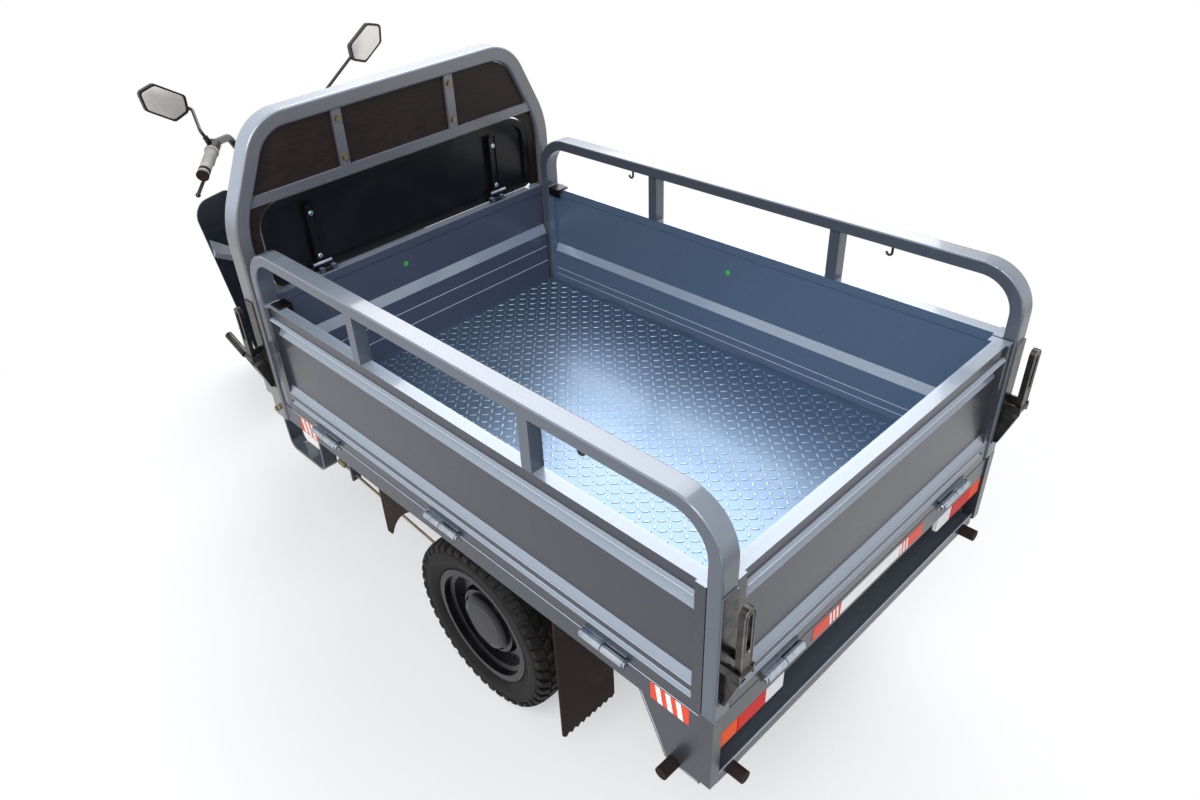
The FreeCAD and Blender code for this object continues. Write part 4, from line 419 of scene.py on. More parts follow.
def make_finishes(colours):
    """Every finish of the record's slots, and the extra ones of single nodes and small pieces."""
    paint("body_paint", colours.body, colours.bed, flake=0.30, gloss=0.24, dust=0.20)
    paint("rail_paint", colours.rail, colours.rail, flake=0.30, gloss=0.22, dust=0.05, ledge_highlight_share=0.30)
    paint("hoop_paint", colours.hoop, colours.hoop, flake=0.25, gloss=0.24, dust=0.15)
    paint("board_paint", colours.body, colours.board, flake=0.30, gloss=0.24, dust=0.20)
    # Light beads on folds and ribs: painted highlights
    paint("edge_highlight_paint", colours.edge, colours.edge, flake=0.20, gloss=0.22, dust=0.0)
    paint("frame_paint", colours.frame, colours.frame, flake=0.20, gloss=0.28, dust=0.1, ledge_highlight_share=0.15)
    checker_paint("floor_plate", colours.floor)
    # Lugs: lighter than the plate, partly wear on the raised tops and partly painted highlight
    checker_paint("lug_wear_and_highlight", colours.lugs)
    film_board("film_board", (0.012, 0.007, 0.006), (0.026, 0.015, 0.012), (0.050, 0.033, 0.027))
    rubber("black_rubber", (0.020, 0.012, 0.010), grain=260.0, rough=0.62, shine=0.12)
    plastic("black_plastic", (0.014, 0.014, 0.015), rough=0.38, grain=700.0, coat=0.0)
    lamp_lens("lamp_red", (0.80, 0.80, 0.82), (0.66, 0.005, 0.003), (0.86, 0.075, 0.001))
    plastic("shield_plastic", colours.shield, rough=0.16, grain=900.0, coat=0.8)
    # Lighter copy of the shield plastic: painted highlight on the shield ledges
    plastic("shield_ledge_highlight", (0.22, 0.25, 0.28), rough=0.18, grain=900.0, coat=0.5)
    cast_metal("bare_aluminium", (0.55, 0.55, 0.55), metallic=1.0, rough=0.34)
    plated("zinc_steel", (0.50, 0.54, 0.59), (0.30, 0.36, 0.44), rough=0.24)
    plated("latch_black", (0.075, 0.070, 0.066), (0.035, 0.034, 0.034), rough=0.20)
    # Light plating for the lever edges: painted highlights
    plated("latch_edge_highlight", (0.26, 0.25, 0.24), (0.14, 0.13, 0.12), rough=0.25)
    plated("yellow_zinc", (0.34, 0.28, 0.16), (0.22, 0.19, 0.13), rough=0.28)
    cast_metal("cast_black", (0.030, 0.029, 0.028), metallic=0.2, rough=0.5)
    cast_metal("spring_steel", (0.032, 0.030, 0.029), metallic=0.3, rough=0.45)
    rubber("tyre_rubber", colours.tyre, grain=210.0, rough=0.52, shine=0.18)
    plastic("rim_black", (0.005, 0.005, 0.006), rough=0.10, grain=600.0, coat=0.0, shine=0.25)
    plated("fork_steel", (0.72, 0.72, 0.73), (0.66, 0.66, 0.68), rough=0.08)
    rubber("grip_rubber", colours.grip, grain=300.0, rough=0.5)
    leatherette("seat_cover", (0.012, 0.012, 0.014), (0.026, 0.025, 0.026))
    plastic("gloss_black", (0.004, 0.004, 0.005), rough=0.26, grain=900.0, coat=0.1, shine=0.25)
    silvered("mirror_glass", (0.84, 0.80, 0.74), (0.90, 0.87, 0.82))
    reflective("red_tape", (0.80, 0.055, 0.015))
    reflective("white_tape", (0.88, 0.87, 0.83))
    sticker("green_dot", (0.05, 0.50, 0.05))
    plastic("lamp_clear", (0.72, 0.74, 0.76), rough=0.05, grain=900.0, coat=1.0)


# Mesh building


class Builder:
    """Collects simple solids into one mesh."""

    def __init__(self):
        self.verts = []
        self.faces = []

    def add(self, verts, faces):
        start = len(self.verts)
        self.verts += [Vector(vert) for vert in verts]
        self.faces += [[start + index for index in face] for face in faces]

    def box(self, low, high):
        xs, ys, zs = zip(low, high)
        verts = [(x, y, z) for x in xs for y in ys for z in zs]
        ends = [(0, 1, 3, 2), (4, 6, 7, 5)]
        walls = [(0, 4, 5, 1), (2, 3, 7, 6), (0, 2, 6, 4), (1, 5, 7, 3)]
        self.add(verts, ends + walls)

    def stack(self, rings):
        """Closed solid through rings with the same number of points."""
        count = len(rings[0])
        verts = [vert for ring in rings for vert in ring]
        faces = [list(range(count))[::-1], [len(verts) - count + i for i in range(count)]]
        for level in range(len(rings) - 1):
            for i in range(count):
                j = (i + 1) % count
                low, high = level * count, (level + 1) * count
                faces.append((low + i, low + j, high + j, high + i))
        self.add(verts, faces)

    def tube(self, path, radius, sides=12):
        """Round tube along points."""
        path = [Vector(point) for point in path]
        forward = (path[1] - path[0]).normalized()
        side = forward.orthogonal().normalized()
        rings = []
        for index, point in enumerate(path):
            before = path[max(index - 1, 0)]
            after = path[min(index + 1, len(path) - 1)]
            turn = forward.rotation_difference((after - before).normalized())
            forward = (after - before).normalized()
            side = turn @ side
            other = forward.cross(side)
            rings.append([point + (side * cos + other * sin) * radius for cos, sin in around(sides)])
        self.stack(rings)

    def disc(self, centre, normal, radius, thick, sides=24):
        """Round plate with a small chamfer on its outer edge."""
        chamfer = 0.3 * thick
        normal = Vector(normal).normalized()
        side = normal.orthogonal().normalized()
        other = normal.cross(side)
        spokes = [side * cos + other * sin for cos, sin in around(sides)]
        low = [centre + spoke * radius for spoke in spokes]
        mid = [point + normal * (thick - chamfer) for point in low]
        top = [centre + spoke * (radius - chamfer) + normal * thick for spoke in spokes]
        self.stack([low, mid, top])

    def turned(self, profile, centre, count):
        """Closed ring about the Y axis through centre, from (radius, across) points."""
        verts = []
        faces = []
        size = len(profile)
        for cos, sin in around(count):
            verts += [centre + Vector((radius * cos, across, radius * sin)) for radius, across in profile]
        for step in range(count):
            here, there = step * size, (step + 1) % count * size
            for i in range(size):
                j = (i + 1) % size
                faces.append((here + i, here + j, there + j, there + i))
        self.add(verts, faces)

    def object(self, name, finish, body, slot=None, smooth=35.0):
        """Mesh object with the given finish that rides on a body. Edges over the smooth angle stay sharp."""
        mesh = bpy.data.meshes.new(name)
        mesh.from_pydata([tuple(vert) for vert in self.verts], [], self.faces)
        mesh.validate()
        edit = bmesh.new()
        edit.from_mesh(mesh)
        bmesh.ops.recalc_face_normals(edit, faces=edit.faces)
        edit.to_mesh(mesh)
        edit.free()
        mesh.shade_smooth()
        mesh.set_sharp_from_angle(angle=math.radians(smooth))
        mesh.materials.append(FINISHES[finish])
        piece = bpy.data.objects.new(name, mesh)
        bpy.context.scene.collection.objects.link(piece)
        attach(piece, body)
        return piece


# Settings


def colour_setting(name, description, default):
    return FloatVectorProperty(
        name=name, description=description, default=default, size=3, min=0.0, max=1.0, subtype="COLOR")


def length_setting(name, description, default):
    return FloatProperty(name=name, description=description, default=default, unit="LENGTH")


class TRICYCLE_PG_colours(bpy.types.PropertyGroup):
    """Colours of the paint and of the moulded pieces."""

    body: colour_setting("Body", "Outside of the gates, rear posts and seat base", (0.050, 0.054, 0.066))
    # Bed and Front board: lighter, bluer copies of the body paint, painted light on faces inside the bed
    bed: colour_setting("Bed", "Inside of the sides and the tailgate", (0.132, 0.194, 0.285))
    board: colour_setting("Front board", "Bed side of the front board", (0.105, 0.118, 0.170))
    rail: colour_setting("Rails", "Guard rails", (0.108, 0.124, 0.150))
    hoop: colour_setting("Hoop", "Headboard hoop and its crossbar", (0.170, 0.172, 0.188))
    # Edges: light colour of the beads along folds and ribs, a painted highlight
    edge: colour_setting("Edges", "Light on the rolled edges and ribs", (0.52, 0.57, 0.63))
    frame: colour_setting("Frame", "Chassis, front frame, steps and bumper", (0.052, 0.058, 0.072))
    floor: colour_setting("Floor", "Ground of the checker plate", (0.19, 0.28, 0.41))
    # Lugs: lighter than the plate, partly wear on the raised tops and partly painted highlight
    lugs: colour_setting("Lugs", "Lugs of the checker plate", (0.32, 0.42, 0.54))
    shield: colour_setting("Legshield", "Legshield and front mudguard", (0.014, 0.019, 0.030))
    tyre: colour_setting("Tyres", "Rubber of the tyres", (0.008, 0.0072, 0.0066))
    grip: colour_setting("Grips", "Rubber of the grips", (0.42, 0.40, 0.37))


class TRICYCLE_PG_floor(bpy.types.PropertyGroup):
    """Sizes of the raised lugs of the checker plate."""

    pitch: length_setting("Pitch", "Distance between lugs", 0.0235)
    length: length_setting("Length", "Length of one lug", 0.021)
    width: length_setting("Width", "Width of one lug", 0.0070)
    height: length_setting("Height", "How far a lug stands up", 0.0012)
    margin: length_setting("Margin", "Plain strip along two opposite edges together", 0.02)


class TRICYCLE_PG_tyre(bpy.types.PropertyGroup):
    """Tread of the tyres."""

    pitches: IntProperty(
        name="Pitches", description="Tread blocks round one tyre", default=44, subtype="UNSIGNED")
    depth: length_setting("Depth", "Depth of the tread", 0.007)


class TRICYCLE_PG_seat(bpy.types.PropertyGroup):
    """Stuffing of the seat and backrest."""

    pressure: FloatProperty(name="Pressure", description="How hard the stuffing pushes out", default=4.0)
    frames: IntProperty(
        name="Frames", description="Length of the settling run", default=20, subtype="TIME")
    limit: length_setting("Limit", "Furthest that the cover moves", 0.012)
    seam: length_setting("Seam", "Depth of a sewn seam", 0.012)


class TRICYCLE_PG_stage(bpy.types.PropertyGroup):
    """Camera and light of the studio."""

    lens: FloatProperty(name="Lens", description="Focal length", default=27.33, unit="CAMERA")
    eye: FloatVectorProperty(
        name="Eye", description="Place of the camera from the rear posts and the bed floor",
        default=(-0.58134, 1.33651, 1.37313), subtype="XYZ", unit="LENGTH")
    ahead: FloatVectorProperty(
        name="Ahead", description="Viewing direction",
        default=(0.6293, -0.5256, -0.5724), subtype="DIRECTION")
    right: FloatVectorProperty(
        name="Right", description="Right side of the picture",
        default=(-0.6773, -0.7322, -0.0723), subtype="DIRECTION")
    sky: FloatProperty(name="Sky", description="Strength of the sky light", default=0.55)
    far: FloatProperty(
        name="Far lamp", description="Power of the lamp on the right", default=310.0, unit="POWER")
    key: FloatProperty(
        name="Key lamp", description="Power of the lamp on the left", default=170.0, unit="POWER")


class TRICYCLE_PG_all(bpy.types.PropertyGroup):
    """All settings of the tricycle."""

    colours: PointerProperty(type=TRICYCLE_PG_colours, name="Colours", description="Paint and plastic")
    floor: PointerProperty(type=TRICYCLE_PG_floor, name="Floor", description="Checker plate")
    tyre: PointerProperty(type=TRICYCLE_PG_tyre, name="Tyre", description="Tyre tread")
    seat: PointerProperty(type=TRICYCLE_PG_seat, name="Seat", description="Seat stuffing")
    stage: PointerProperty(type=TRICYCLE_PG_stage, name="Stage", description="Studio")


# Pieces


class TRICYCLE_OT_finishes(bpy.types.Operator):
    """Give every node the finish of its material slot, or its own one"""

    bl_idname = "tricycle.finishes"
    bl_label = "Finishes"

    def execute(self, context):
        make_finishes(context.scene.tricycle.colours)
        for row in frame["record"]["subparts"]:
            finish = OWN_FINISH.get(row["node"], row["material_slot"])
            materials = NODES[row["node"]].data.materials
            materials.clear()
            materials.append(FINISHES[finish])
        return {"FINISHED"}


class TRICYCLE_OT_floor(bpy.types.Operator):
    """Raise the lugs of the checker plate on the bed floor"""

    bl_idname = "tricycle.floor"
    bl_label = "Checker plate"

    def execute(self, context):
        sizes = context.scene.tricycle.floor
        low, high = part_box("bed_floor")
        middle = (low + high) / 2
        builder = Builder()
        rows = int((high.y - low.y - sizes.margin) / sizes.pitch)
        columns = int((high.x - low.x - sizes.margin) / sizes.pitch)
        for column in range(columns):
            for row in range(rows):
                x = middle.x + (column - (columns - 1) / 2) * sizes.pitch
                y = middle.y + (row - (rows - 1) / 2) * sizes.pitch
                angle = math.radians(45 if (row + column) % 2 else -45)
                self.lug(builder, Vector((x, y, high.z)), angle, sizes)
        builder.object("checker_lugs", "lug_wear_and_highlight", "chassis", slot="floor_plate")
        return {"FINISHED"}

    def lug(self, builder, centre, angle, sizes):
        """Eight-sided lug that narrows upwards. Its corners reach a little past half of its size."""
        reach = 0.53
        levels = ((1.0, -0.3), (0.84, 0.8), (0.66, 1.0))
        turn = Matrix.Rotation(angle, 3, "Z")
        rings = []
        for share, height in levels:
            ring = []
            for cos, sin in around(8, 0.5):
                flat = Vector((cos * sizes.length, sin * sizes.width, 0)) * reach * share
                ring.append(centre + turn @ flat + Vector((0, 0, height * sizes.height)))
            rings.append(ring)
        builder.stack(rings)


class TRICYCLE_OT_tyres(bpy.types.Operator):
    """Build the block tread tyres"""

    bl_idname = "tricycle.tyres"
    bl_label = "Tyres"

    # Radius of the bead, and its distance from the middle of the tyre
    BEAD = ((0.1523, 0.024), (0.1523, 0.035), (0.166, 0.0352), (0.169, 0.040))
    # Radius of the ringed sidewall, and its distance in from the widest place
    WALL = (
        (0.172, 0.0065), (0.176, 0.004), (0.1775, 0.005), (0.182, 0.0032), (0.1835, 0.0042), (0.190, 0.0015),
        (0.200, 0.0), (0.212, 0.0008), (0.2135, -0.0008), (0.2165, -0.0006), (0.218, 0.0016), (0.226, 0.005))
    # Drop of the shoulder from the crown, and its distance in from the widest place
    SHOULDER = ((0.004, 0.013), (0.0, 0.022))

    def execute(self, context):
        sizes = context.scene.tricycle.tyre
        wheels = (
            ("left_rear_tyre", "left_rear_wheel"), ("right_rear_tyre", "right_rear_wheel"),
            ("front_tyre", "front_wheel"))
        for node, body in wheels:
            low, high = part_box(node)
            centre = (low + high) / 2
            outer = (high.z - low.z) / 2
            half = (high.y - low.y) / 2
            builder = Builder()
            self.carcass(builder, centre, outer - sizes.depth, half)
            self.tread(builder, centre, outer, half, sizes)
            piece = builder.object(node + "_tread", "tyre_rubber", body, slot="tyre_rubber", smooth=28.0)
            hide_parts(node)
        return {"FINISHED"}

    def carcass(self, builder, centre, crown, half):
        """Tyre body under the tread."""
        side = list(self.BEAD)
        side += [(radius, half - inset) for radius, inset in self.WALL]
        side += [(crown - drop, half - inset) for drop, inset in self.SHOULDER]
        side.append((crown + 0.001, 0.010))
        profile = side + [(radius, -across) for radius, across in reversed(side)]
        builder.turned(profile, centre, 96)

    def tread(self, builder, centre, outer, half, sizes):
        """Staggered middle blocks and shoulder blocks of two lengths."""
        step = 2 * math.pi / sizes.pitches
        inner_width, inner_skew = 0.62 * step, 0.25 * step
        outer_width, outer_skew, outer_shift = 0.60 * step, -0.15 * step, 0.2 * step
        root = outer - sizes.depth - 0.002
        shoulder = outer - 0.010
        inner_block = [(root, 0.002), (outer - 0.0004, 0.0035), (outer - 0.0008, 0.0185), (root, 0.021)]
        for index in range(sizes.pitches):
            foot = shoulder - (0.012 if index % 2 else 0.018)
            outer_block = [
                (root - 0.002, 0.0235), (outer - 0.0012, 0.0252), (outer - 0.006, half - 0.0085),
                (shoulder, half - 0.0025), (foot, half - 0.0002), (foot - 0.002, half - 0.008)]
            for side in (1, -1):
                angle = (index + (0.5 if side > 0 else 0.0)) * step
                self.block(builder, centre, angle, inner_width, inner_block, side, inner_skew)
                self.block(builder, centre, angle + outer_shift, outer_width, outer_block, side, outer_skew)

    def block(self, builder, centre, angle, width, profile, side, skew):
        """One tread block with chamfered ends: a section across the tyre swept a little way round it."""
        chamfer = 0.0022
        skew_width = 0.02
        ends = (-0.5, 0.5)
        middle = sum(across for radius, across in profile) / len(profile)
        chamfer_start = min(radius for radius, across in profile) + 0.002
        rings = []
        for share in (-0.5, -0.38, 0.38, 0.5):
            ring = []
            for radius, across in profile:
                chamfered = share in ends and radius > chamfer_start
                height = radius - chamfer if chamfered else radius
                turn = angle + share * width + skew * (across - middle) / skew_width
                spoke = Vector((height * math.cos(turn), side * across, height * math.sin(turn)))
                ring.append(centre + spoke)
            rings.append(ring)
        builder.stack(rings)


class TRICYCLE_OT_springs(bpy.types.Operator):
    """Copy the leaf spring packs into a mesh of their own in place of their node"""

    bl_idname = "tricycle.springs"
    bl_label = "Leaf springs"

    def execute(self, context):
        packs = bpy.data.objects.new("leaf_spring_packs", NODES["leaf_springs"].data.copy())
        context.scene.collection.objects.link(packs)
        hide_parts("leaf_springs")
        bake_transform(packs)
        return {"FINISHED"}


class TRICYCLE_OT_cushions(bpy.types.Operator):
    """Stuff the seat and the backrest pad"""

    bl_idname = "tricycle.cushions"
    bl_label = "Cushions"

    # Room between a cover and the edges of its node, and less of it in front of the backrest
    ROOM = 0.004
    REST_ROOM = 0.003
    # Height of the seat pan's top over the foot of its node, and reach of its hinges
    PAN_RISE = 0.0253
    HINGE_REACH = 0.024

    def execute(self, context):
        settings = context.scene.tricycle.seat
        low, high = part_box("seat_cushion")
        pan_top = low.z + self.PAN_RISE
        seat_low = Vector((low.x + self.ROOM, low.y + self.ROOM, pan_top))
        seat_high = high - Vector((self.HINGE_REACH, self.ROOM, self.ROOM))
        seat = self.pad("seat_pad", seat_low, seat_high, thin=2, seams=1, settings=settings)
        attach(seat, "seat")
        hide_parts("seat_cushion")
        self.pan(low, high, pan_top)
        low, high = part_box("backrest_pad")
        rest_low = low + Vector((0, self.ROOM, self.ROOM))
        rest_high = high - Vector((self.REST_ROOM, self.ROOM, self.ROOM))
        rest = self.pad("backrest_pad_cover", rest_low, rest_high, thin=0, seams=2, settings=settings)
        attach(rest, "backrest")
        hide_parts("backrest_pad")
        return {"FINISHED"}

    def pan(self, low, high, top):
        """Steel pan under the seat with its hinge knuckles."""
        inset = 0.008
        plate_low, plate_high = top - 0.0061, top - 0.0003
        leaf_low, leaf_high = top - 0.006, top - 0.0004
        leaf_overlap = 0.002
        hinge_out = 0.15
        knuckle = (0.0123, 0.036)
        knuckle_r = 0.0099
        front = high.x - self.HINGE_REACH
        pin_x, pin_z = front + 0.014, top - 0.0066
        builder = Builder()
        builder.box((low.x, low.y + inset, plate_low), (front, high.y - inset, plate_high))
        for y in (-hinge_out, hinge_out):
            for side in (-1, 1):
                start, end = sorted(y + side * reach for reach in knuckle)
                builder.tube([(pin_x, start, pin_z), (pin_x, end, pin_z)], knuckle_r, 20)
                builder.box((front - leaf_overlap, start, leaf_low), (pin_x, end, leaf_high))
        builder.object("seat_pan", "latch_black", "seat", slot="latch_black")

    def pad(self, name, low, high, thin, seams, settings):
        """Padded block with sewn channels. The cover is settled under the push of its stuffing."""
        swell = 0.007
        corner = 0.02
        grid = 0.0065
        size = high - low
        mesh = bpy.data.meshes.new(name)
        edit = bmesh.new()
        bmesh.ops.create_cube(edit, size=1.0)
        bmesh.ops.scale(edit, vec=size - 2 * Vector((swell, swell, swell)), verts=edit.verts)
        bmesh.ops.translate(edit, vec=(low + high) / 2, verts=edit.verts)
        bmesh.ops.bevel(edit, geom=edit.edges[:], offset=corner, segments=4, affect="EDGES", profile=0.6)
        edit.to_mesh(mesh)
        edit.free()
        piece = bpy.data.objects.new(name, mesh)
        bpy.context.scene.collection.objects.link(piece)
        remesh = piece.modifiers.new("remesh", "REMESH")
        remesh.mode = "VOXEL"
        remesh.voxel_size = grid
        self.apply(piece, remesh)
        self.sew(piece, low, high, thin, seams, settings.seam)
        self.settle(piece, settings)
        smooth = piece.modifiers.new("smooth", "SMOOTH")
        smooth.iterations = 2
        self.apply(piece, smooth)
        piece.data.shade_smooth()
        piece.data.materials.append(FINISHES["seat_cover"])
        return piece

    def sew(self, piece, low, high, thin, seams, depth):
        """Draw the cover in along seams spaced over its width, and hold it there and at its back."""
        reach = 0.014
        held = 0.007
        face, back = 0.3, -0.7
        roll = 0.7
        size = high - low
        centre = (low + high) / 2
        group = piece.vertex_groups.new(name="held")
        for vert in piece.data.vertices:
            share = (vert.co.y - low.y) / size.y * (seams + 1)
            near = min(abs(share - k) for k in range(1, seams + 1)) * size.y / (seams + 1)
            out = (vert.co[thin] - centre[thin]) / (size[thin] / 2)
            if near < reach and out > face:
                vert.co[thin] -= depth * (1 - near / reach) ** roll
                if near < held:
                    group.add([vert.index], 1.0, "REPLACE")
            if out < back:
                group.add([vert.index], 1.0, "REPLACE")

    def settle(self, piece, settings):
        """Short cloth run with inner pressure. Points that move too far are drawn back."""
        before = [vert.co.copy() for vert in piece.data.vertices]
        scene = bpy.context.scene
        scene.frame_set(1)
        cloth = piece.modifiers.new("cloth", "CLOTH")
        cloth.settings.quality = 4
        cloth.settings.mass = 0.3
        cloth.settings.tension_stiffness = 25
        cloth.settings.compression_stiffness = 25
        cloth.settings.bending_stiffness = 1.0
        cloth.settings.use_pressure = True
        cloth.settings.uniform_pressure_force = settings.pressure
        cloth.settings.vertex_group_mass = "held"
        cloth.settings.effector_weights.gravity = 0.0
        cloth.collision_settings.use_collision = False
        cloth.point_cache.frame_start = 1
        cloth.point_cache.frame_end = settings.frames
        for step in range(1, settings.frames + 1):
            scene.frame_set(step)
        self.apply(piece, cloth)
        scene.frame_set(1)
        for vert, start in zip(piece.data.vertices, before):
            move = vert.co - start
            if move.length > settings.limit:
                vert.co = start + move.normalized() * settings.limit

    def apply(self, piece, modifier):
        with bpy.context.temp_override(object=piece, active_object=piece, selected_objects=[piece]):
            bpy.ops.object.modifier_apply(modifier=modifier.name)


class TRICYCLE_OT_reflectors(bpy.types.Operator):
    """Stick the reflective strips on the sills and the rear beam"""

    bl_idname = "tricycle.reflectors"
    bl_label = "Reflective strips"

    def execute(self, context):
        for side, name in SIDES:
            self.sill_strips(side, name)
        self.tail_strip()
        return {"FINISHED"}

    def sill_strips(self, side, name):
        """Red strips at both ends of a sill, each with three white slashes."""
        low, high = -58.0, -14.0
        bands = 7.5
        lean = 0.6
        sill = extent("chassis_frame")[1].y
        sunk, film, slash_film = sill - 0.2, sill + 0.4, sill + 0.6
        red = Builder()
        white = Builder()
        for start, end in ((54.0, 146.0), (1328.0, 1410.0)):
            red.box(at(start, side * sunk, low), at(end, side * film, high))
            band = (end - start) / bands
            for slash in (1, 3, 5):
                foot = start + slash * band
                head = foot + lean * band
                corners = [(foot, low), (foot + band, low), (head + band, high), (head, high)]
                self.slash(white, [at(x, side * slash_film, z) for x, z in corners], (0, -side, 0))
        red.object(name + "_sill_strips", "red_tape", "chassis", slot="lamp_red")
        white.object(name + "_sill_slashes", "white_tape", "chassis", slot="lamp_red")

    def tail_strip(self):
        """White strip on the rear beam with red ends, each with three white slashes."""
        low, high = -54.0, -18.0
        white_end, red_end = 112.0, 208.0
        slash_width = 6.0
        beam = extent("chassis_frame")[0].x
        sunk, film, slash_film = beam + 0.1, beam - 0.6, beam - 0.8
        red = Builder()
        white = Builder()
        white.box(at(film, -white_end, low), at(sunk, white_end, high))
        for side in (1, -1):
            red.box(at(film, side * white_end, low), at(sunk, side * red_end, high))
            for foot in (118.0, 130.0, 142.0):
                near, far = side * foot, side * (foot + slash_width)
                corners = [(near, low), (far, low), (far + slash_width, high), (near + slash_width, high)]
                self.slash(white, [at(slash_film, y, z) for y, z in corners], (1, 0, 0))
        red.object("tail_strip_ends", "red_tape", "chassis", slot="lamp_red")
        white.object("tail_strip_middle", "white_tape", "chassis", slot="lamp_red")

    def slash(self, builder, corners, inwards):
        """Slanted piece of film."""
        thick = 0.4 * MM
        builder.stack([[corner + Vector(inwards) * thick for corner in corners], corners])


class TRICYCLE_OT_mirrors(bpy.types.Operator):
    """Set the glass in the mirror shells"""

    bl_idname = "tricycle.mirrors"
    bl_label = "Mirror glass"

    # Half sizes of a shell, the tilt of its long side, and its outline in shares of the half sizes
    HALF_WIDTH = 0.0775
    HALF_HEIGHT = 0.046
    LEAN = math.radians(26.7)
    OUTLINE = ((-0.55, -1.0), (0.6, -0.75), (1.0, 0.25), (0.5, 1.0), (-0.75, 0.75), (-1.0, -0.2))
    # Middle of the open back of each shell
    BACKS = {"left": (2144.2, 363.4, 667.5), "right": (2150.6, -348.2, 682.1)}

    def execute(self, context):
        levels = ((2.8, 0.88), (1.2, 0.88), (0.6, 0.85))
        for side, name in SIDES:
            across = Vector((0, side * math.cos(self.LEAN), math.sin(self.LEAN))) * self.HALF_WIDTH
            up = Vector((0, -side * math.sin(self.LEAN), math.cos(self.LEAN))) * self.HALF_HEIGHT
            x, y, z = self.BACKS[name]
            rings = []
            for depth, share in levels:
                centre = at(x + depth, y, z)
                rings.append([centre + (across * u + up * v) * share for u, v in self.rounded(self.OUTLINE)])
            builder = Builder()
            builder.stack(rings)
            builder.object(name + "_mirror_glass", "mirror_glass", name + "_mirror_body")
        return {"FINISHED"}

    def rounded(self, corners):
        """Outline with every corner turned into a short curve."""
        cut = 0.16
        points = []
        for index, corner in enumerate(corners):
            before = Vector(corners[index - 1])
            here = Vector(corner)
            after = Vector(corners[(index + 1) % len(corners)])
            enter = here + (before - here).normalized() * cut
            leave = here + (after - here).normalized() * cut
            for share in (0.0, 0.25, 0.5, 0.75, 1.0):
                bend = enter.lerp(here, share).lerp(here.lerp(leave, share), share)
                points.append((bend.x, bend.y))
        return points


class TRICYCLE_OT_edges(bpy.types.Operator):
    """Lay thin beads along the fold edges and ribs of the panels, in a light colour that paints their
    highlights
    """

    bl_idname = "tricycle.edges"
    bl_label = "Rolled edges"

    # Depth behind the outer face, height and radius of each fold, and height and radius of each rib
    FOLDS = ((0.0, 280.0, 0.0018), (0.4, 57.5, 0.0013), (0.0, 40.0, 0.0012), (0.0, 24.0, 0.0010))
    RIBS = ((22.0, 0.0012), (44.0, 0.0012))
    # Radius of the borders, and how far the lines on flat faces stand off
    BORDER_R = 0.0014
    PROUD = 0.2

    def execute(self, context):
        for side, name in SIDES:
            self.side_edges(side, name)
            self.sill_edge(side, name)
        self.tailgate_edges()
        self.board_and_bumper_edges()
        return {"FINISHED"}

    def line(self, builder, points, radius):
        """Thin round edge along points."""
        # Beads in the light edge colour: painted highlights along folds and ribs
        builder.tube([at(*point) for point in points], radius, 10)

    def side_edges(self, side, name):
        """Folds on the outside of a drop side and ribs on its inside."""
        stile = 22.5
        rib_inset = 23.0
        low, high = extent("left_side_panel")
        gate = Builder()
        for depth, height, radius in self.FOLDS:
            y = side * (high.y - depth)
            self.line(gate, [(low.x + stile, y, height), (high.x - stile, y, height)], radius)
        y = side * (low.y - self.PROUD)
        for height, radius in self.RIBS:
            self.line(gate, [(low.x + rib_inset, y, height), (high.x - rib_inset, y, height)], radius)
        gate.object(name + "_panel_edges", "edge_highlight_paint", name + "_side", slot="body_paint")

    def sill_edge(self, side, name):
        """Upper edge of the sill and the border of the rear gusset."""
        top = -10.0
        top_r = 0.0012
        end_gap = 4.0
        border_y = 513.8
        border = ((178.0, -66.0), (110.0, -216.0), (33.0, -216.0))
        low, high = extent("left_side_panel")
        y = side * (high.y - 0.4)
        sill = Builder()
        self.line(sill, [(low.x + end_gap, y, top), (high.x - end_gap, y, top)], top_r)
        self.line(sill, [(x, side * border_y, z) for x, z in border], self.BORDER_R)
        sill.object(name + "_sill_edge", "edge_highlight_paint", "chassis", slot="frame_paint")

    def tailgate_edges(self):
        """Folds on the outside of the tailgate and ribs on its inside."""
        half = 446.0
        low, high = extent("tailgate_panel")
        tail = Builder()
        for depth, height, radius in self.FOLDS:
            self.line(tail, [(low.x + depth, y, height) for y in (-half, half)], radius)
        for height, radius in self.RIBS:
            self.line(tail, [(high.x + self.PROUD, y, height) for y in (-half, half)], radius)
        tail.object("tailgate_edges", "edge_highlight_paint", "tailgate", slot="body_paint")

    def board_and_bumper_edges(self):
        """Ribs of the front board and folds of the bumper."""
        board = extent("front_board")[0].x - self.PROUD
        bumper = extent("rear_bumper")[0].x + self.PROUD
        fixed = Builder()
        for x, half, heights in ((board, 468.0, (60.0, 110.0)), (bumper, 494.0, (-213.0, -185.0))):
            for height in heights:
                self.line(fixed, [(x, -half, height), (x, half, height)], self.BORDER_R)
        fixed.object("board_and_bumper_edges", "edge_highlight_paint", "chassis", slot="body_paint")


class TRICYCLE_OT_rope_hooks(bpy.types.Operator):
    """Hang short hooks under the guard rails"""

    bl_idname = "tricycle.rope_hooks"
    bl_label = "Rope hooks"

    def execute(self, context):
        out = 497.0
        top, straight_end, bend_z = 441.0, 424.0, 418.0
        bend = 7.0
        wire = 0.003
        steps = 6
        for side, name in SIDES:
            builder = Builder()
            for x in (315.0, 1110.0):
                path = [at(x, side * out, top), at(x, side * out, straight_end)]
                for k in range(steps + 1):
                    angle = math.pi * k / steps
                    ahead = bend - bend * math.cos(angle)
                    path.append(at(x + ahead, side * out, bend_z - bend * math.sin(angle)))
                builder.tube(path, wire, 10)
            builder.object(name + "_rope_hooks", "latch_black", name + "_side", slot="latch_black")
        return {"FINISHED"}


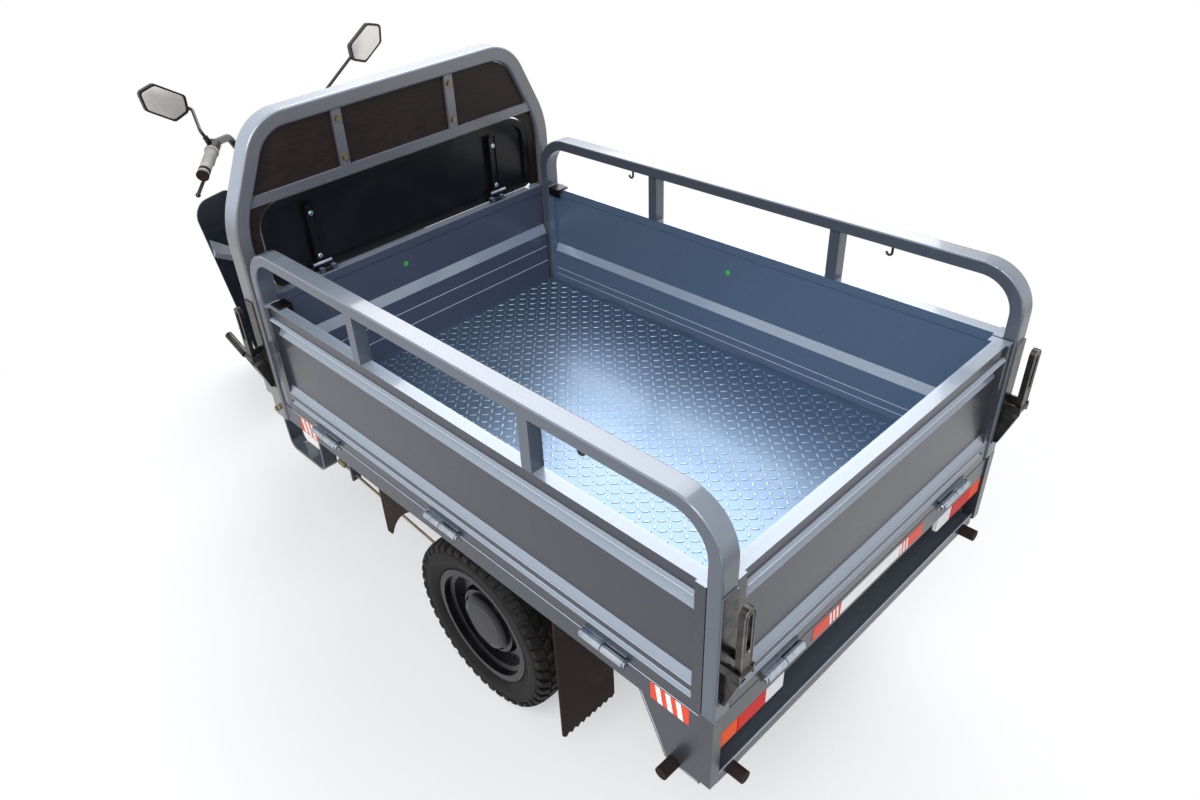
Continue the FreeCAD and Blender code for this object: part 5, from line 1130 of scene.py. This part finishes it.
class TRICYCLE_OT_latch_trim(bpy.types.Operator):
    """Put dark covers on the rear latch plates and thin light lines round the slot and rim of their levers,
    as painted highlights
    """

    bl_idname = "tricycle.latch_trim"
    bl_label = "Latch trim"

    def execute(self, context):
        half_plate = 20.5
        half_tail = 10.6
        plate_low, plate_high = 44.5, 305.5
        plate_back, plate_front = -3.6, -2.9
        ear_back, ear_front = -43.0, -3.0
        ear_half, ear_thick = 10.5, 4.9
        tail = ((-3.2, 44.4), (-9.8, 44.4), (-34.8, 120.2), (-3.2, 131.0))
        slot_half, lever_half = 7.2, 14.2
        edge_r = 0.0011
        for name in ("left", "right"):
            low, high = extent("rear_%s_latch" % name)
            middle = (low.y + high.y) / 2
            pivot = low.z + 10.0
            cover = Builder()
            right, left = middle - half_plate, middle + half_plate
            cover.box(at(plate_back, right, plate_low), at(plate_front, left, plate_high))
            for y in (right, left - ear_thick):
                cover.box(at(ear_back, y, pivot - ear_half), at(ear_front, y + ear_thick, pivot + ear_half))
            cover.stack([[at(x, middle + y, z) for x, z in tail] for y in (-half_tail, half_tail)])
            cover.object(name + "_latch_cover", "latch_black", name + "_side", slot="latch_black")
            back = low.x + 3.8
            # Light lines round each lever's slot and rim: painted highlights
            edge = Builder()
            slot = self.oval(back, middle, slot_half, low.z + 65.0, high.z - 11.5, closed=True)
            rim = self.oval(back, middle, lever_half, low.z + 24.0, high.z - 0.5, closed=False)
            edge.tube(slot, edge_r, 8)
            edge.tube(rim, edge_r, 8)
            lever = "rear_%s_lever" % name
            edge.object("rear_%s_latch_edge" % name, "latch_edge_highlight", lever, slot="latch_black")
        return {"FINISHED"}

    def oval(self, x, middle, half, low, high, closed):
        """Line up one side, over a round end and down the other side. A closed one has a round foot too."""
        steps = 12
        turns = [math.pi * k / steps for k in range(steps + 1)]
        path = [at(x, middle - half, low)]
        for angle in turns:
            path.append(at(x, middle - half * math.cos(angle), high - half + half * math.sin(angle)))
        path.append(at(x, middle + half, low))
        if closed:
            for angle in turns[1:]:
                path.append(at(x, middle + half * math.cos(angle), low - half * math.sin(angle)))
        return path


class TRICYCLE_OT_backrest_strips(bpy.types.Operator):
    """Fix channel strips, screws and catches to the bed side of the backrest"""

    bl_idname = "tricycle.backrest_strips"
    bl_label = "Backrest strips"

    def execute(self, context):
        strip_out = 310.0
        half, web = 13.0, 4.0
        low, high = 338.0, 505.0
        edge, back, front = 1494.0, 1498.0, 1502.0
        screw_r, screw_h = 0.007, 0.005
        catch_x, catch_z = 1490.0, 343.0
        catch_start, catch_end, catch_r = -26.0, 30.0, 0.005
        strips = Builder()
        catches = Builder()
        for side in (1, -1):
            y = side * strip_out
            strips.box(at(back, y - half, low), at(front, y + half, high))
            for start in (y - half, y + half - web):
                strips.box(at(edge, start, low), at(back, start + web, high))
            for z in (360.0, 480.0):
                catches.disc(at(back, y, z), (-1, 0, 0), screw_r, screw_h, 16)
            catches.tube([at(catch_x, y + end, catch_z) for end in (catch_start, catch_end)], catch_r, 12)
        strips.object("backrest_strips", "gloss_black", "backrest", slot="gloss_black")
        catches.object("backrest_catches", "zinc_steel", "backrest", slot="zinc_steel")
        return {"FINISHED"}


class TRICYCLE_OT_corner_brackets(bpy.types.Operator):
    """Set a small bracket on the front end of each side's top edge"""

    bl_idname = "tricycle.corner_brackets"
    bl_label = "Corner brackets"

    def execute(self, context):
        panel_low, panel_high = extent("left_side_panel")
        start, end = panel_high.x - 58.0, panel_high.x - 14.0
        wall, inner, outer = panel_low.y - 8.0, panel_low.y - 4.0, panel_high.y - 15.0
        foot, bottom, top = panel_high.z - 21.0, panel_high.z + 0.2, panel_high.z + 4.0
        for side, name in SIDES:
            builder = Builder()
            for near, far, low in ((inner, outer, bottom), (wall, inner, foot)):
                right, left = sorted((side * near, side * far))
                builder.box(at(start, right, low), at(end, left, top))
            builder.object(name + "_corner_bracket", "latch_black", name + "_side", slot="latch_black")
        return {"FINISHED"}


class TRICYCLE_OT_grip_caps(bpy.types.Operator):
    """Close the grips with end caps and bands"""

    bl_idname = "tricycle.grip_caps"
    bl_label = "Grip caps"

    def execute(self, context):
        bar_end = (1940.05, 388.0, 508.57)
        bar_run = (-100.0, 98.0, -42.0)
        cap_out, cap_r, cap_thick = 0.0062, 0.0185, 0.005
        band_in, band_r, band_thick = 0.016, 0.0176, 0.014
        for side, name, body in ((1, "left", "steering"), (-1, "right", "throttle")):
            end = at(bar_end[0], side * bar_end[1], bar_end[2])
            out = Vector((bar_run[0], side * bar_run[1], bar_run[2])).normalized()
            builder = Builder()
            builder.disc(end + out * cap_out, out, cap_r, cap_thick)
            builder.disc(end - out * band_in, out, band_r, band_thick)
            builder.object(name + "_grip_cap", "black_rubber", body, slot="grip_rubber")
        return {"FINISHED"}


class TRICYCLE_OT_headlight_lens(bpy.types.Operator):
    """Put a clear domed lens over the headlight"""

    bl_idname = "tricycle.headlight_lens"
    bl_label = "Headlight lens"

    def execute(self, context):
        dome = 0.234
        lamp_r = 0.078
        proud = 0.0004
        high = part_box("headlight")[1]
        rings = []
        for radius in (0.0695, 0.060, 0.045, 0.028, 0.010):
            ahead = high.x + proud - dome + math.sqrt(dome ** 2 - radius ** 2)
            centre = Vector((ahead, 0, high.z - lamp_r))
            rings.append([centre + Vector((0, cos, sin)) * radius for cos, sin in around(40)])
        builder = Builder()
        builder.stack(rings)
        builder.object("headlight_lens", "lamp_clear", "steering", slot="black_plastic")
        return {"FINISHED"}


class TRICYCLE_OT_hinge_pins(bpy.types.Operator):
    """Add the pin heads and the dark seam between the knuckles of each hinge"""

    bl_idname = "tricycle.hinge_pins"
    bl_label = "Hinge pins"

    def execute(self, context):
        pin_gap = 9.5
        pin_low = -7.0
        half_leaf = 56.0
        middle_hinge = 766.0
        head_out, head_r, head_thick = 0.0565, 0.0066, 0.0042
        half_seam, seam_r = 0.001, 0.0092
        ahead = Vector((1, 0, 0))
        across = Vector((0, 1, 0))
        low, high = extent("left_hinge_leaves")
        hinges = (low.x + half_leaf, middle_hinge, high.x - half_leaf)
        tail_hinge = extent("tailgate_hinge_leaves")[1].y - half_leaf
        pin_out = extent("left_side_panel")[1].y + pin_gap
        pin_back = extent("tailgate_panel")[0].x - pin_gap
        places = [(at(x, y, pin_low), ahead) for y in (pin_out, -pin_out) for x in hinges]
        places += [(at(pin_back, y, pin_low), across) for y in (tail_hinge, -tail_hinge)]
        heads = Builder()
        seams = Builder()
        for middle, axis in places:
            seams.tube([middle - axis * half_seam, middle + axis * half_seam], seam_r, 24)
            for way in (axis, -axis):
                heads.disc(middle + way * head_out, way, head_r, head_thick)
        heads.object("hinge_pin_heads", "zinc_steel", "chassis", slot="zinc_steel")
        seams.object("hinge_seams", "latch_black", "chassis", slot="zinc_steel")
        return {"FINISHED"}


class TRICYCLE_OT_shield_ledges(bpy.types.Operator):
    """Mould a sloping ledge into each side of the legshield's inner face, in a lighter plastic that paints
    its highlight
    """

    bl_idname = "tricycle.shield_ledges"
    bl_label = "Shield ledges"

    def execute(self, context):
        shield_thick = 5.0
        shield_half = 392.0
        shield_sweep = 80.0
        overlap = 1.0
        nose, nose_drop, foot_drop = 0.6, 12.0, 24.0
        # Distance from the middle, top, height and lip at the outer and at the inner end of a ledge
        outer_end = (366.0, 252.0, 40.0, 20.0)
        inner_end = (225.0, 139.0, 22.0, 8.0)
        steps = 8
        back = extent("legshield")[1].x - shield_thick
        bend = (shield_half ** 2 + shield_sweep ** 2) / (2 * shield_sweep)
        builder = Builder()
        for side in (1, -1):
            rings = []
            for k in range(steps + 1):
                along = k / steps
                y, top, height, lip = [a + (b - a) * along for a, b in zip(outer_end, inner_end)]
                face = back - bend + math.sqrt(bend ** 2 - y ** 2)
                low = top - height
                section = [
                    (face + overlap, top), (face - lip, low), (face - lip * nose, low - nose_drop),
                    (face + overlap, low - foot_drop)]
                rings.append([at(x, side * y, z) for x, z in section])
            builder.stack(rings)
        # Ledges in the lighter shield plastic: painted highlight
        builder.object("shield_ledges", "shield_ledge_highlight", "chassis", slot="shield_plastic")
        return {"FINISHED"}


class TRICYCLE_OT_dots(bpy.types.Operator):
    """Stick round plain dots inside the bed"""

    bl_idname = "tricycle.dots"
    bl_label = "Stickers"

    def execute(self, context):
        dot_r, dot_thick = 0.0075, 0.0004
        stickers = (
            ("front_dot", "chassis", at(1479.0, 62.0, 246.0), (-1, 0, 0)),
            ("side_dot", "right_side", at(760.0, -487.0, 230.0), (0, 1, 0)))
        for name, body, place, facing in stickers:
            builder = Builder()
            builder.disc(place, facing, dot_r, dot_thick)
            builder.object(name, "green_dot", body, slot="gloss_black")
        return {"FINISHED"}


class TRICYCLE_OT_stage(bpy.types.Operator):
    """Set up the floor, light and camera"""

    bl_idname = "tricycle.stage"
    bl_label = "Studio"

    def execute(self, context):
        settings = context.scene.tricycle.stage
        self.floor()
        self.sky(context, settings)
        self.lights(context, settings)
        self.camera(context, settings)
        context.scene.view_settings.view_transform = "Standard"
        return {"FINISHED"}

    def floor(self):
        """Pale floor that keeps the shadow under the vehicle and turns white further out."""
        reach = 30.0
        drop = -0.0005
        shadow_end, white_start = 1.0, 2.4
        least_white = 0.4
        mesh = bpy.data.meshes.new("studio_floor")
        corners = [(-reach, -reach), (reach, -reach), (reach, reach), (-reach, reach)]
        mesh.from_pydata([(x, y, drop) for x, y in corners], [], [(0, 1, 2, 3)])
        floor = bpy.data.objects.new("studio_floor", mesh)
        bpy.context.scene.collection.objects.link(floor)
        material = bpy.data.materials.new("studio_floor")
        mesh.materials.append(material)
        g = Graph(material)
        away = g.make("ShaderNodeVectorMath", {"operation": "LENGTH"}, {0: g.place()}, "Value")
        pale = g.make("ShaderNodeBsdfDiffuse", None, {"Color": (0.93, 0.93, 0.93)})
        white = g.make("ShaderNodeEmission", None, {"Color": (1, 1, 1), "Strength": 1.0})
        further = away.ramp(shadow_end, white_start)
        share = (least_white + further * (1 - least_white)) * self.shown(g)
        g.finish(g.make("ShaderNodeMixShader", None, {0: share, 1: pale, 2: white}))

    def shown(self, g):
        """1 for rays that show the studio: straight to the camera, mirrored or through glass."""
        kinds = ("Is Camera Ray", "Is Glossy Ray", "Is Transmission Ray")
        camera, mirrored, through = [g.make("ShaderNodeLightPath", output=kind) for kind in kinds]
        return g.math("MAXIMUM", g.math("MAXIMUM", camera, mirrored), through)

    def sky(self, context, settings):
        """White where it shows, and a soft even dome for the light."""
        world = bpy.data.worlds.new("studio_sky")
        context.scene.world = world
        g = Graph(world)
        dome = g.make("ShaderNodeBackground", None, {"Color": (0.93, 0.97, 1.05), "Strength": settings.sky})
        white = g.make("ShaderNodeBackground", None, {"Color": (1, 1, 1)})
        shader = g.make("ShaderNodeMixShader", None, {0: self.shown(g), 1: dome, 2: white})
        g.finish(shader, "ShaderNodeOutputWorld")

    def lights(self, context, settings):
        """Two large soft panels."""
        panels = (
            ("far", (2.6, -3.6, 5.3), (-0.6, 0.0, 0.6), 5.6, settings.far),
            ("key", (-2.2, 3.4, 4.2), (0.0, 0.2, 0.6), 3.0, settings.key))
        for name, place, aim, size, power in panels:
            lamp = bpy.data.lights.new(name, "AREA")
            lamp.shape = "SQUARE"
            lamp.size = size
            lamp.energy = power
            panel = bpy.data.objects.new(name, lamp)
            panel.location = place
            panel.rotation_mode = "QUATERNION"
            panel.rotation_quaternion = (Vector(aim) - Vector(place)).to_track_quat("-Z", "Y")
            context.scene.collection.objects.link(panel)

    def camera(self, context, settings):
        """Camera with its optical axis off the middle of the picture."""
        lens = bpy.data.cameras.new("camera")
        lens.sensor_width = 36.0
        lens.lens = settings.lens
        lens.shift_x = (PICTURE_WIDTH / 2 - AXIS_ACROSS) / PICTURE_WIDTH
        lens.shift_y = (AXIS_DOWN - PICTURE_HEIGHT / 2) / PICTURE_WIDTH
        lens.clip_start = 0.05
        lens.clip_end = 200.0
        camera = bpy.data.objects.new("camera", lens)
        ahead = Vector(settings.ahead).normalized()
        right = Vector(settings.right)
        right = (right - ahead * right.dot(ahead)).normalized()
        up = right.cross(ahead)
        turn = Matrix((right, up, -ahead)).transposed().to_4x4()
        eye = Vector(settings.eye) + Vector((REAR, 0, HINGE_Z))
        camera.matrix_world = Matrix.Translation(eye) @ turn
        context.scene.collection.objects.link(camera)
        context.scene.camera = camera


class TRICYCLE_PT_panel(bpy.types.Panel):
    """Settings and buttons of the tricycle"""

    bl_idname = "TRICYCLE_PT_panel"
    bl_label = "Cargo tricycle"
    bl_space_type = "VIEW_3D"
    bl_region_type = "UI"
    bl_category = "Tricycle"

    def draw(self, context):
        settings = context.scene.tricycle
        for group in (settings.colours, settings.floor, settings.tyre, settings.seat, settings.stage):
            column = self.layout.column()
            for name in group.__annotations__:
                column.prop(group, name)
        for operator in OPERATORS:
            self.layout.operator(operator.bl_idname)


OPERATORS = (
    TRICYCLE_OT_finishes, TRICYCLE_OT_floor, TRICYCLE_OT_tyres, TRICYCLE_OT_springs, TRICYCLE_OT_cushions,
    TRICYCLE_OT_reflectors, TRICYCLE_OT_mirrors, TRICYCLE_OT_edges, TRICYCLE_OT_rope_hooks,
    TRICYCLE_OT_latch_trim, TRICYCLE_OT_backrest_strips, TRICYCLE_OT_corner_brackets, TRICYCLE_OT_grip_caps,
    TRICYCLE_OT_headlight_lens, TRICYCLE_OT_hinge_pins, TRICYCLE_OT_shield_ledges, TRICYCLE_OT_dots,
    TRICYCLE_OT_stage)
CLASSES = (
    TRICYCLE_PG_colours, TRICYCLE_PG_floor, TRICYCLE_PG_tyre, TRICYCLE_PG_seat, TRICYCLE_PG_stage,
    TRICYCLE_PG_all, *OPERATORS, TRICYCLE_PT_panel)


def register():
    for item in CLASSES:
        bpy.utils.register_class(item)
    bpy.types.Scene.tricycle = PointerProperty(
        type=TRICYCLE_PG_all, name="Tricycle", description="Settings of the tricycle")


def unregister():
    del bpy.types.Scene.tricycle
    for item in reversed(CLASSES):
        bpy.utils.unregister_class(item)


def main():
    register()
    bpy.ops.tricycle.finishes()
    bpy.ops.tricycle.floor()
    bpy.ops.tricycle.tyres()
    bpy.ops.tricycle.springs()
    bpy.ops.tricycle.cushions()
    bpy.ops.tricycle.reflectors()
    bpy.ops.tricycle.mirrors()
    bpy.ops.tricycle.edges()
    bpy.ops.tricycle.rope_hooks()
    bpy.ops.tricycle.latch_trim()
    bpy.ops.tricycle.backrest_strips()
    bpy.ops.tricycle.corner_brackets()
    bpy.ops.tricycle.grip_caps()
    bpy.ops.tricycle.headlight_lens()
    bpy.ops.tricycle.hinge_pins()
    bpy.ops.tricycle.shield_ledges()
    bpy.ops.tricycle.dots()
    bpy.ops.tricycle.stage()


if __name__ == "__main__":
    main()
